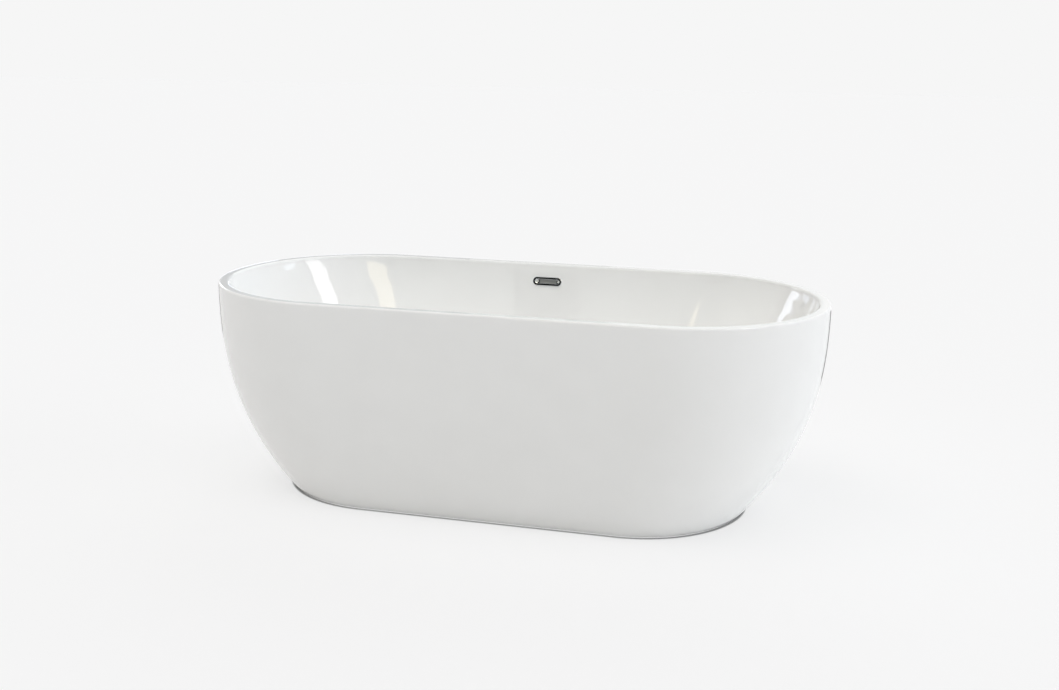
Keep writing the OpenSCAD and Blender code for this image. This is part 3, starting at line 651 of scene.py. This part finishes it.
def flangeProfile(v):
    foot = v["landing"] + v["seal"]
    top, low, e = foot + v["flange"], foot - v["bodyDepth"], v["edge"]
    edge, bore, body = v["flangeAcross"] / 2, v["bore"] / 2, v["body"] / 2
    points = [(body, low + e), (body, foot - 4), (body, foot - 0.2), (body, foot), (edge - 0.4, foot),
              (edge, foot + 0.4), (edge, foot + e)]
    points += [(edge - v["flangeRound"] * (1 - math.cos(t)), foot + e + (v["flange"] - e) * math.sin(t))
               for t in spread(8, 0, quarter)[1:]]
    lip, seat = bore + v["seat"], top - v["seat"]
    points += [(lip + 1.2, top), (lip + 0.7, top - 0.1), (lip + 0.2, top - 0.5), (lip - 0.4, top - 1),
               (bore + 0.6, seat + 0.4), (bore, seat - 0.5), (bore, seat - 3), (bore, low + 0.6),
               (bore + 0.6, low), (body - e, low)]
    return roundProfile(points + [points[0]])


def addBar(edit, turn, sizes, height):
    # a straight bar across the middle, sizes in millimetres
    size = Matrix.Diagonal((*(s * mm for s in sizes), 1))
    bmesh.ops.create_cube(edit, size=1, matrix=Matrix.Translation((0, 0, height * mm))
                          @ Matrix.Rotation(turn, 4, "Z") @ size)


def addPost(edit, sides, radius, depth, height):
    # an upright prism or cylinder in the middle, in millimetres
    bmesh.ops.create_cone(edit, cap_ends=True, segments=sides, radius1=radius * mm, radius2=radius * mm,
                          depth=depth * mm, matrix=Matrix.Translation((0, 0, height * mm)))


def softenEdges(piece, width, segments=2, angle=30):
    # rounds the sharp edges by width in millimetres and smooths the rest
    modifier = piece.modifiers.new("round", "BEVEL")
    modifier.width = width * mm
    modifier.segments = segments
    modifier.limit_method = "ANGLE"
    modifier.angle_limit = math.radians(angle)
    mesh = applyModifiers(piece)
    mesh.shade_smooth()
    mesh.set_sharp_from_angle(angle=math.radians(angle))


def makeSpider(v):
    # two crossed bars with a boss that holds the plug's cartridge
    mesh = bpy.data.meshes.new("wasteSpider")
    mesh.materials.append(finishes["chromed_brass"])
    middle = v["spiderFoot"] + v["spiderHeight"] / 2
    with editing(mesh) as edit:
        for turn in (0, quarter):
            addBar(edit, turn, (v["bore"] + 1, v["spiderBar"], v["spiderHeight"] * 0.998), middle)
        addPost(edit, 48, v["boss"] / 2, v["spiderHeight"], middle)
    piece = newPiece("wasteSpider", mesh)
    softenEdges(piece, v["spiderRound"])
    return piece


def capProfile(v):
    rod, hub, edge = v["rodBore"] / 2, v["hubAcross"] / 2, v["capAcross"] / 2
    foot, height = v["capFoot"], v["capHeight"]
    points = [(0, foot), (rod, foot), (rod, v["hubFoot"]), (hub - 0.6, v["hubFoot"]),
              (hub, v["hubFoot"] + 0.6),
              (hub, foot - 0.4), (hub + 0.4, foot), (edge - 0.8, foot), (edge - 0.2, foot + 0.3),
              (edge, foot + 1)]
    points += [(edge * math.cos(t), foot + 1 + (height - 1) * math.sin(t))
               for t in spread(24, 0, quarter)[1:-1]]
    return roundProfile(points + [(0, foot + height)])


def mergedCopy(nodeName):
    # a copy of a CAD node's mesh with the shared corners of its triangles joined
    mesh = frame["nodes"][nodeName].data.copy()
    with editing(mesh) as edit:
        bmesh.ops.remove_doubles(edit, verts=edit.verts, dist=0.00001)
    return mesh


def softened(nodeName, width, segments=2, body="root"):
    # a copy of a node's solid with its sharp edges rounded
    mesh = mergedCopy(nodeName)
    with editing(mesh) as edit:
        bmesh.ops.dissolve_limit(edit, angle_limit=math.radians(1), verts=edit.verts, edges=edit.edges)
    name = "".join(part.capitalize() if i else part for i, part in enumerate(nodeName.split("_")))
    piece = newPiece(name, mesh)
    softenEdges(piece, width, segments)
    return settle(piece, [nodeName], body)


loftPiece("drainFlange", flangeProfile(waste), "chromed_brass", ["drain_flange"], endSteps=36,
          sideSteps=1)
settle(makeSpider(waste), ["drain_flange"])
loftPiece("plugCap", capProfile(waste), "chromed_brass", ["plug_cap"], endSteps=36, sideSteps=1,
          body="plug")

wasteEdges = {"waste_tee": 0.6, "tailpiece_nut": 0.8, "tailpiece": 0.25, "drain_lock_nut": 0.6,
              "overflow_housing": 0.5, "hose_clamps": 0.2}
for nodeName, width in wasteEdges.items():
    softened(nodeName, width)
print("waste made")


def makeThreadTree():
    # cuts a screw thread into the barrel of a turned mesh, between low and high
    tree, given = newTree("cutThread", "Mesh", numbers={"radius": 0.006, "pitch": 0.00175,
                                                        "depth": 0.0009,
                                                        "low": 0.0, "high": 0.1})
    node = partial(addNode, tree)
    place = node("GeometryNodeInputPosition")
    axis = node("SeparateXYZ", place, out=None).outputs
    flat = node("CombineXYZ", {0: axis[0], 1: axis[1]})
    away = node("VectorMath LENGTH", flat, out="Value")
    turn = node("Math DIVIDE", node("Math ARCTAN2", axis[1], axis[0]), 2 * math.pi)
    phase = node("Math FRACT", node("Math SUBTRACT", node("Math DIVIDE", axis[2], given["pitch"]),
                                    turn))
    wave = node("Math MULTIPLY", node("Math ABSOLUTE", node("Math SUBTRACT", phase, 0.5)), 2.0)
    # narrow flats at the crests and roots
    wave = node("MapRange", {0: wave, 1: 0.12, 2: 0.88}, interpolation_type="SMOOTHSTEP")
    # the thread runs out over one turn at both ends
    inside = node("Math COMPARE", away, given["radius"], 0.0002)
    for high, low in ((axis[2], given["low"]), (given["high"], axis[2])):
        distance = node("Math SUBTRACT", high, low)
        fade = node("MapRange", {0: distance, 1: 0.0, 2: given["pitch"]})
        inside = node("Math MULTIPLY", inside, fade)
    cut = node("Math MULTIPLY", node("Math MULTIPLY", wave, given["depth"]), inside)
    share = node("Math DIVIDE", cut, away)
    offset = node("VectorMath SCALE", {0: flat, "Scale": node("Math MULTIPLY", share, -1.0)})
    moved = node("GeometryNodeSetPosition", {0: given["Mesh"], "Offset": offset})
    return endTree(tree, moved, given["material"])


def makeRepeatTree():
    # puts one piece on every point of the incoming mesh, each turned by chance about Z
    tree, given = newTree("repeatOnPoints", "Points", numbers={"mostTurn": 3.14}, counts={"seed": 3},
                          objects=["piece"])
    node = partial(addNode, tree)
    shape = node("GeometryNodeObjectInfo", {"Object": given["piece"]}, out="Geometry")
    turn = node("FunctionNodeRandomValue", {2: 0.0, 3: given["mostTurn"], "Seed": given["seed"]}, out=1)
    rotation = node("FunctionNodeEulerToRotation", node("CombineXYZ", {2: turn}))
    copies = node("GeometryNodeInstanceOnPoints",
                  {"Points": given["Points"], "Instance": shape, "Rotation": rotation})
    return endTree(tree, copies, given["material"])


def makeBeadTree():
    # lays a weld bead along the edges of the incoming mesh: overlapping ripples of molten metal
    tree, given = newTree("weldBead", "Path", numbers={"size": 0.002, "spacing": 0.0016},
                          counts={"seed": 5})
    node = partial(addNode, tree)
    curve = node("GeometryNodeMeshToCurve", {0: given["Path"]})
    points = node("GeometryNodeCurveToPoints", {0: curve, "Length": given["spacing"]},
                  mode="LENGTH")
    ball = node("GeometryNodeMeshIcoSphere", {"Radius": given["size"], "Subdivisions": 2})
    scale = node("FunctionNodeRandomValue", {2: 0.82, 3: 1.12, "Seed": given["seed"]}, out=1)
    ripples = node("GeometryNodeInstanceOnPoints", {"Points": points, "Instance": ball, "Scale": scale})
    real = node("GeometryNodeRealizeInstances", {0: ripples})
    return endTree(tree, node("GeometryNodeSetShadeSmooth", real), given["material"])


def makeLumpTree():
    # trowelled filler: splits the faces of a block and pushes them in and out along a noise
    tree, given = newTree("lumpyFiller", "Mesh", numbers={"lump": 0.014, "depth": 0.002},
                          counts={"steps": 4})
    node = partial(addNode, tree)
    split = node("GeometryNodeSubdivisionSurface",
                 {0: given["Mesh"], "Level": given["steps"], "Edge Crease": 0.55})
    noise = node("TexNoise", {"Scale": node("Math DIVIDE", 1.0, given["lump"]),
                                        "Detail": 2.0})
    # the noise keeps near its middle, so it is stretched to reach the depth
    push = node("Math MULTIPLY", node("Math SUBTRACT", noise, 0.5), given["depth"])
    push = node("Math MULTIPLY", push, 3.0)
    offset = node("VectorMath SCALE", {0: node("GeometryNodeInputNormal"), "Scale": push})
    moved = node("GeometryNodeSetPosition", {0: split, "Offset": offset})
    return endTree(tree, node("GeometryNodeSetShadeSmooth", moved), given["material"])


def makeHoseTree():
    # Each point of the incoming mesh holds a distance along the path and a radius. The path lies
    # in the YZ plane.
    tree, given = newTree("hoseAlongPath", "Profile", counts={"sides": 36}, objects=["path"])
    node = partial(addNode, tree)
    line = node("GeometryNodeObjectInfo", {"Object": given["path"]}, out="Geometry")
    curve = node("GeometryNodeMeshToCurve", {0: line})
    grid, column, size = profileGrid(tree, given["Profile"], node("Math ADD", given["sides"], 1))
    sample = node("GeometryNodeSampleCurve", {0: curve, "Length": size[0]}, mode="LENGTH",
                  use_all_curves=True, out=None).outputs
    across = node("VectorMath CROSS_PRODUCT", sample["Tangent"], (1.0, 0.0, 0.0))
    turn = node("Math DIVIDE", node("Math MULTIPLY", column, 2 * math.pi), given["sides"])
    sideways = node("CombineXYZ", {0: node("Math MULTIPLY", size[1], node("Math COSINE", turn))})
    rise = node("Math MULTIPLY", size[1], node("Math SINE", turn))
    up = node("VectorMath SCALE", {0: across, "Scale": rise})
    place = sample["Position"]
    for step in (sideways, up):
        place = node("VectorMath ADD", place, step)
    smooth = node("GeometryNodeSetShadeSmooth", placed(tree, grid, place))
    return endTree(tree, smooth, given["material"])


threadTree, repeatTree, beadTree = makeThreadTree(), makeRepeatTree(), makeBeadTree()
lumpTree, hoseTree = makeLumpTree(), makeHoseTree()


hose = {
    "across": 27, "bore": 22.4, "ribPitch": 4.2, "ribDepth": 1.5, "cuff": 27, "edge": 0.4,
    "footY": 40, "footZ": 75, "bend": 70, "topY": 377.2, "topZ": 501.2, "bendSteps": 24,
    # one rib: shares of its pitch and of its depth
    "rib": [(0.0, 0.25), (0.14, 0.85), (0.26, 1.0), (0.38, 0.85), (0.52, 0.2), (0.64, 0.0),
            (0.88, 0.0)],
}


def hosePath(v):
    # out of the tee, round one bend and up beside the bowl
    turn = quarter - overflowTilt
    cornerY = v["topY"] - (v["topZ"] - v["footZ"]) * math.tan(overflowTilt)
    start = cornerY - v["bend"] * math.tan(turn / 2)
    line = [(0, v["footY"], v["footZ"])]
    line += [(0, start + v["bend"] * math.sin(p), v["footZ"] + v["bend"] * (1 - math.cos(p)))
             for p in spread(v["bendSteps"], 0, turn)]
    return line + [(0, v["topY"], v["topZ"])]


def hoseProfile(v, length):
    # rings as (distance along the hose, radius), out over the ribs and back down the bore
    out, bore, cuff, edge = v["across"] / 2, v["bore"] / 2, v["cuff"], v["edge"]
    ribs = int((length - 2 * cuff) / v["ribPitch"])
    pitch = (length - 2 * cuff) / ribs
    rings = [(edge, out), (cuff * 0.5, out), (cuff - 0.6, out)]
    rings += [(cuff + (i + along) * pitch, out - deep * v["ribDepth"])
              for i in range(ribs) for along, deep in v["rib"]]
    rings += [(length - cuff, out), (length - cuff * 0.5, out), (length - edge, out),
              (length, out - edge)]
    rings += [(s, bore) for s in spread(60, length, 0)]
    return rings + [(0, out - edge), rings[0]]


def makeHose(v):
    line = hosePath(v)
    edges = zip(range(len(line) - 1), range(1, len(line)))
    path = newPiece("hoseLine", pointMesh("hoseLine", line, edges))
    length = sum((Vector(b) - Vector(a)).length for a, b in zip(line, line[1:]))
    rings = [(s, r, 0) for s, r in hoseProfile(v, length)]
    piece = growTree("overflowHose", pointMesh("hoseRings", rings), hoseTree, "grey_pvc_hose",
                     path=path, sides=36)
    bpy.data.objects.remove(path)
    with editing(piece.data) as edit:
        bmesh.ops.recalc_face_normals(edit, faces=edit.faces)
    return settle(piece, ["overflow_hose"])


makeHose(hose)
print("hose made")


base = {
    "tube": 30, "frameFoot": 91.7, "frameTop": 121.7, "footX": 430, "footY": 190, "innerCross": 120,
    "bead": 1.9, "beadSpacing": 1.5, "beadTop": 2, "tab": 3, "tabX": (148, 402), "tabY": 100,
    "tabHalf": 20,
    "screwHead": 5, "screwHeadHeight": 3, "screwShank": 2.5, "screwLength": 14.8,
    "lump": 14, "lumpDepth": 1.8,
}

# how much each node's edges are rounded, and in how many steps
baseEdges = {"base_board": (0.8, 2), "frame_rail_front": (1.6, 3), "frame_rail_back": (1.6, 3),
             "frame_cross_tubes": (1.6, 3), "frame_outriggers": (1.6, 3), "frame_tabs": (0.5, 2),
             "foot_sleeve_nuts": (0.7, 2), "foot_lock_nuts": (0.7, 2)}
for nodeName, (width, segments) in baseEdges.items():
    softened(nodeName, width, segments)


def makeBeads(v):
    # the seams of the frame: round three sides of each tube's end, and along each tab
    half, low, high = v["tube"] / 2, v["frameFoot"], v["frameTop"] - v["beadTop"]
    tabTop = v["frameTop"] - v["tab"]
    inner, outer = v["footY"] - half, v["footY"] + half
    ends = (-v["footX"], v["footX"])
    crosses = (-v["footX"], -v["innerCross"], v["innerCross"], v["footX"])
    tabEdges = (-v["footX"] + half, -v["innerCross"] - half, v["innerCross"] + half, v["footX"] - half)
    runs = []
    for side in (-1, 1):
        runs += [[(x - half, side * y, high), (x - half, side * y, low), (x + half, side * y, low),
                  (x + half, side * y, high)]
                 for y, row in ((inner, crosses), (outer, ends)) for x in row]
        runs += [[(x, side * v["tabY"] - v["tabHalf"], tabTop),
                  (x, side * v["tabY"] + v["tabHalf"], tabTop)]
                 for x in tabEdges]
    points, edges = [], []
    for run in runs:
        edges += [(len(points) + i, len(points) + i + 1) for i in range(len(run) - 1)]
        points += run
    piece = growTree("frameWelds", pointMesh("weldRuns", points, edges), beadTree, "zinc_plated_steel",
                     size=v["bead"] * mm, spacing=v["beadSpacing"] * mm, seed=5)
    return settle(piece, [])


def makeScrew(name, radius, height, shank, length, slotName):
    # a pan head over a plain shank, head down, with a cross cut into the head
    profile = [(0, -height), (radius - 1.2, -height), (radius - 0.5, -height + 0.25),
               (radius - 0.1, -height + 0.9),
               (radius, -height + 1.6), (radius, -0.3), (radius - 0.3, 0), (shank, 0),
               (shank, length - 1.5),
               (0.3, length), (0, length)]
    screw = loft(name, roundProfile(profile), slotName, endSteps=24, sideSteps=1)
    cutters = []
    for turn in (0, quarter):
        mesh = bpy.data.meshes.new("cross")
        with editing(mesh) as edit:
            addBar(edit, turn, (radius * 1.25, radius * 0.3, height * 1.1), -height)
        cutters.append(newPiece("cross", mesh))
    cutOut(screw, cutters)
    return screw


def repeatPiece(name, piece, points, slotName, replaced):
    many = growTree(name, pointMesh(name, points), repeatTree, slotName, piece=piece, mostTurn=3.14,
                    seed=3)
    bpy.data.objects.remove(piece)
    return settle(many, replaced)


def makeBlocks(v):
    # a merged copy of the bonding blocks, rounded and lumpy
    mesh = mergedCopy("bonding_blocks")
    with editing(mesh) as edit:
        bmesh.ops.join_triangles(edit, faces=edit.faces, angle_face_threshold=0.4,
                                 angle_shape_threshold=3.0)
    piece = growTree("bondingBlocks", mesh, lumpTree, "bonding_paste",
                     lump=v["lump"] * mm, depth=v["lumpDepth"] * mm, steps=5)
    return settle(piece, ["bonding_blocks"])


makeBeads(base)
boardScrew = makeScrew("boardScrew", base["screwHead"], base["screwHeadHeight"], base["screwShank"],
                       base["screwLength"], "yellow_zinc_screws")
repeatPiece("boardScrews", boardScrew,
            [(sx * x, sy * base["tabY"], base["frameTop"] - base["tab"])
             for x in base["tabX"] for sx in (-1, 1) for sy in (-1, 1)],
            "yellow_zinc_screws", ["board_screws"])
makeBlocks(base)
print("base made")


foot = {
    "places": [(-430, -190), (430, -190), (430, 190), (-430, 190), (120, 0)],
    "stud": 12, "pitch": 1.75, "threadDepth": 0.95, "ballFoot": 4, "ball": 16, "ballHeight": 5,
    "hexFoot": 16, "hexHeight": 8, "hexAcross": 17.2, "top": 101.7, "chamfer": 0.8, "rows": 6,
    "padRound": 0.8,
}


def studProfile(v):
    r, ball, c = v["stud"] / 2, v["ball"] / 2, v["chamfer"]
    ballTop = v["ballFoot"] + v["ballHeight"]
    points = [(0, v["ballFoot"]), (ball - 1.5, v["ballFoot"]), (ball - 0.4, v["ballFoot"] + 0.8),
              (ball, v["ballFoot"] + 2), (ball, ballTop - 1), (ball - 0.8, ballTop), (r, ballTop)]
    step = v["pitch"] / v["rows"]
    points += [(r, z) for z in spread(int((v["top"] - c - ballTop) / step), ballTop + 0.2,
                                      v["top"] - c)]
    return roundProfile(points + [(r - c, v["top"]), (0, v["top"])])


def makeStud(number, v):
    x, y = v["places"][number - 1]
    name, body = "footStud%d" % number, "foot_stud_%d" % number
    barrel = loft(name, studProfile(v), "zinc_plated_steel", endSteps=12, sideSteps=1, sharpAngle=0.9)
    piece = growTree(name, barrel.data, threadTree, "zinc_plated_steel",
                     radius=v["stud"] / 2 * mm, pitch=v["pitch"] * mm, depth=v["threadDepth"] * mm,
                     low=(v["hexFoot"] + v["hexHeight"]) * mm, high=(v["top"] - v["chamfer"]) * mm)
    bpy.data.objects.remove(barrel)
    # the hexagon for the spanner
    with editing(piece.data) as edit:
        addPost(edit, 6, v["hexAcross"] / math.cos(math.pi / 6) / 2, v["hexHeight"],
                v["hexFoot"] + v["hexHeight"] / 2)
    piece.data.transform(Matrix.Translation((x * mm, y * mm, 0)))
    return settle(piece, [body], body)


for number in range(1, len(foot["places"]) + 1):
    softened("foot_pad_%d" % number, foot["padRound"], 3, body="foot_pad_%d" % number)
    makeStud(number, foot)
print("feet made")


studio = {
    "floorColour": "#F6F6F6",
    "floorReach": 30.0,                  # metres from the middle to each edge
    "shadowShare": 0.3,                  # how much of the floor's shadow shows
    "contactReach": 0.007,               # metres; painted contact shadow: the floor's glow darkens this close to the bath
    "contactDepth": 5.0,                 # and the painted contact shadow darkens it by this much
    # soft lights round the room: azimuth from +X, elevation, narrowness, colour, strength
    "lights": [
        (0, 12, 14, "#F6F9FF", 2.95),
        (30, 12, 14, "#EFF6FF", 1.31),
        (60, 12, 14, "#EAF7FF", 1.04),
        (90, 12, 14, "#F6FCFF", 1.40),
        (120, 12, 14, "#FDFFFF", 1.42),
        (90, 40, 12, "#FCFFFF", 1.20),
        (180, 40, 12, "#FFF1E7", 0.45),
        (270, 40, 12, "#F9FFFD", 0.87),
        (210, 66, 16, "#FFFDFC", 3.09),
        (270, 66, 16, "#FFF9F6", 0.59),
        (330, 66, 16, "#FFFDFF", 1.85),
    ],
    # Upright panes that only show as reflections: the axis they stand across and where they stand
    # on it, their corners as (the other axis, height) in metres, colour, strength. A pane given
    # by two corners is a rectangle.
    "panes": {
        "windowPane": ("x", 2.0, [(-0.40, 1.25), (-1.00, 1.25), (-1.50, 2.75), (-0.50, 2.75)],
                       "#FFFFFF", 6.0),
        "smallPane": ("x", 2.0, [(0.08, 1.20), (0.75, 1.45), (0.75, 1.70), (0.20, 1.70)], "#EAF6FF",
                      4.6),
        "wallPane": ("y", -2.4, [(0.38, 1.50), (0.0, 1.40), (-0.36, 1.46), (-0.62, 1.60), (-0.62, 2.1),
                                 (0.15, 2.1), (0.15, 1.84), (0.38, 1.80)], "#FFF4D4", 4.4),
        "endPane": ("x", -2.0, [(0.88, 0.90), (1.50, 0.90), (1.42, 1.13), (1.15, 1.24), (0.88, 1.35)],
                    "#EEF4FF", 5.6),
        "endGlow": ("x", -1.99, [(1.50, 0.90), (1.78, 0.90), (1.66, 1.06), (1.53, 1.13), (1.42, 1.13)],
                    "#E8F0FF", 2.2),
        "endWall": ("x", -2.0, [(1.80, 0.60), (3.80, 0.95)], "#E8F0FF", 2.2),
        "leftRoom": ("x", -6.0, [(-8.0, 1.3), (0.7, 4.6)], "#F2F8F4", 1.5),
        "frontRoom": ("y", -8.0, [(-6.0, 1.6), (4.5, 6.0)], "#F2F8F4", 1.1),
        "backLeft": ("y", 2.6, [(-2.8, 0.85), (-0.95, 1.5)], "#D0E0F0", 0.2),
        "backMid": ("y", 2.6, [(-0.95, 0.85), (-0.25, 1.5)], "#F0FAF6", 0.5),
        "backRight": ("y", 2.6, [(-0.25, 0.85), (0.75, 1.5)], "#F6FAFA", 0.9),
        "plinthPane": ("y", 1.3, [(-1.95, 0.0), (1.12, 0.3)], "#4A4A4A", 1.0),
        "flagPane": ("y", -2.4, [(-0.89, 1.20), (-0.52, 1.41)], "#101010", 1.0),
    },
}


def seenRay(node):
    # 1 where the camera looks, straight or by way of metal or glass, and 0 where light bounces
    ray = node("LightPath", out=None).outputs
    straight = node("Math MAXIMUM", ray["Is Camera Ray"], ray["Is Glossy Ray"])
    return node("Math MAXIMUM", straight, ray["Is Transmission Ray"])


def studioPaper(values):
    # a seamless pale paper: it bounces light as itself and shows a weak shadow; its even glow carries a
    # painted contact shadow, dark only where the bath nearly touches it; from below it is clear, so the
    # underside can be seen
    material, node = newMaterial("studioPaper")
    colour, share = linear(values["floorColour"]), values["shadowShare"]
    # painted contact shadow: ambient occlusion darkens the paper's even glow close to the bath
    near = node("AmbientOcclusion", {"Distance": values["contactReach"]}, out="AO", samples=8)
    glow = node("Math MULTIPLY", node("Math POWER", near, values["contactDepth"]), 1 - share)
    lit = node("Emission", {"Color": colour, "Strength": glow})
    shaded = node("BsdfDiffuse", {"Color": [v * share for v in colour[:3]] + [1]})
    paper = node("BsdfDiffuse", {"Color": colour})
    top = node("MixShader", seenRay(node), paper, node("AddShader", lit, shaded))
    below = node("NewGeometry", out="Backfacing")
    node("OutputMaterial", {"Surface": node("MixShader", below, top, node("BsdfTransparent"))},
         out=None)
    return material


def plainFace(name, corners, material):
    mesh = bpy.data.meshes.new(name)
    mesh.from_pydata(corners, [], [tuple(range(len(corners)))])
    mesh.materials.append(material)
    face = newPiece(name, mesh)
    return face


def makePanes(panes):
    for name, (axis, at, outline, colour, strength) in panes.items():
        material, node = newMaterial(name)
        light = node("Emission", {"Color": linear(colour), "Strength": strength})
        node("OutputMaterial", {"Surface": light}, out=None)
        if len(outline) == 2:
            (left, low), (right, high) = outline
            outline = [(left, low), (right, low), (right, high), (left, high)]
        pane = plainFace(name, [(at, s, z) if axis == "x" else (s, at, z) for s, z in outline],
                         material)
        pane.visible_camera = False
        pane.visible_diffuse = False
        pane.visible_shadow = False
        pane.visible_transmission = False


def makeWorld(values):
    scene.world = bpy.data.worlds.new("studioWorld")
    node = nodesOf(scene.world)
    look = node("TexCoord", out="Generated")
    total = None
    for azimuth, elevation, narrowness, colour, strength in values["lights"]:
        a, e = math.radians(azimuth), math.radians(elevation)
        aim = (math.cos(e) * math.cos(a), math.cos(e) * math.sin(a), math.sin(e))
        facing = node("VectorMath DOT_PRODUCT", look, aim, out="Value")
        glow = node("Math POWER", node("Math MAXIMUM", facing, 0.0), narrowness)
        glow = node("Math MULTIPLY", glow, strength)
        light = node("Background", {"Color": linear(colour), "Strength": glow})
        total = node("AddShader", total, light) if total else light
    shown = node("Background", {"Color": linear(values["floorColour"]), "Strength": 1.0})
    node("OutputWorld", {"Surface": node("MixShader", seenRay(node), total, shown)}, out=None)


reach = studio["floorReach"]
plainFace("studioFloor", [(-reach, -reach, 0), (reach, -reach, 0), (reach, reach, 0),
                          (-reach, reach, 0)],
          studioPaper(studio))
makePanes(studio["panes"])
makeWorld(studio)
scene.view_settings.view_transform = "Standard"
print("studio lit")
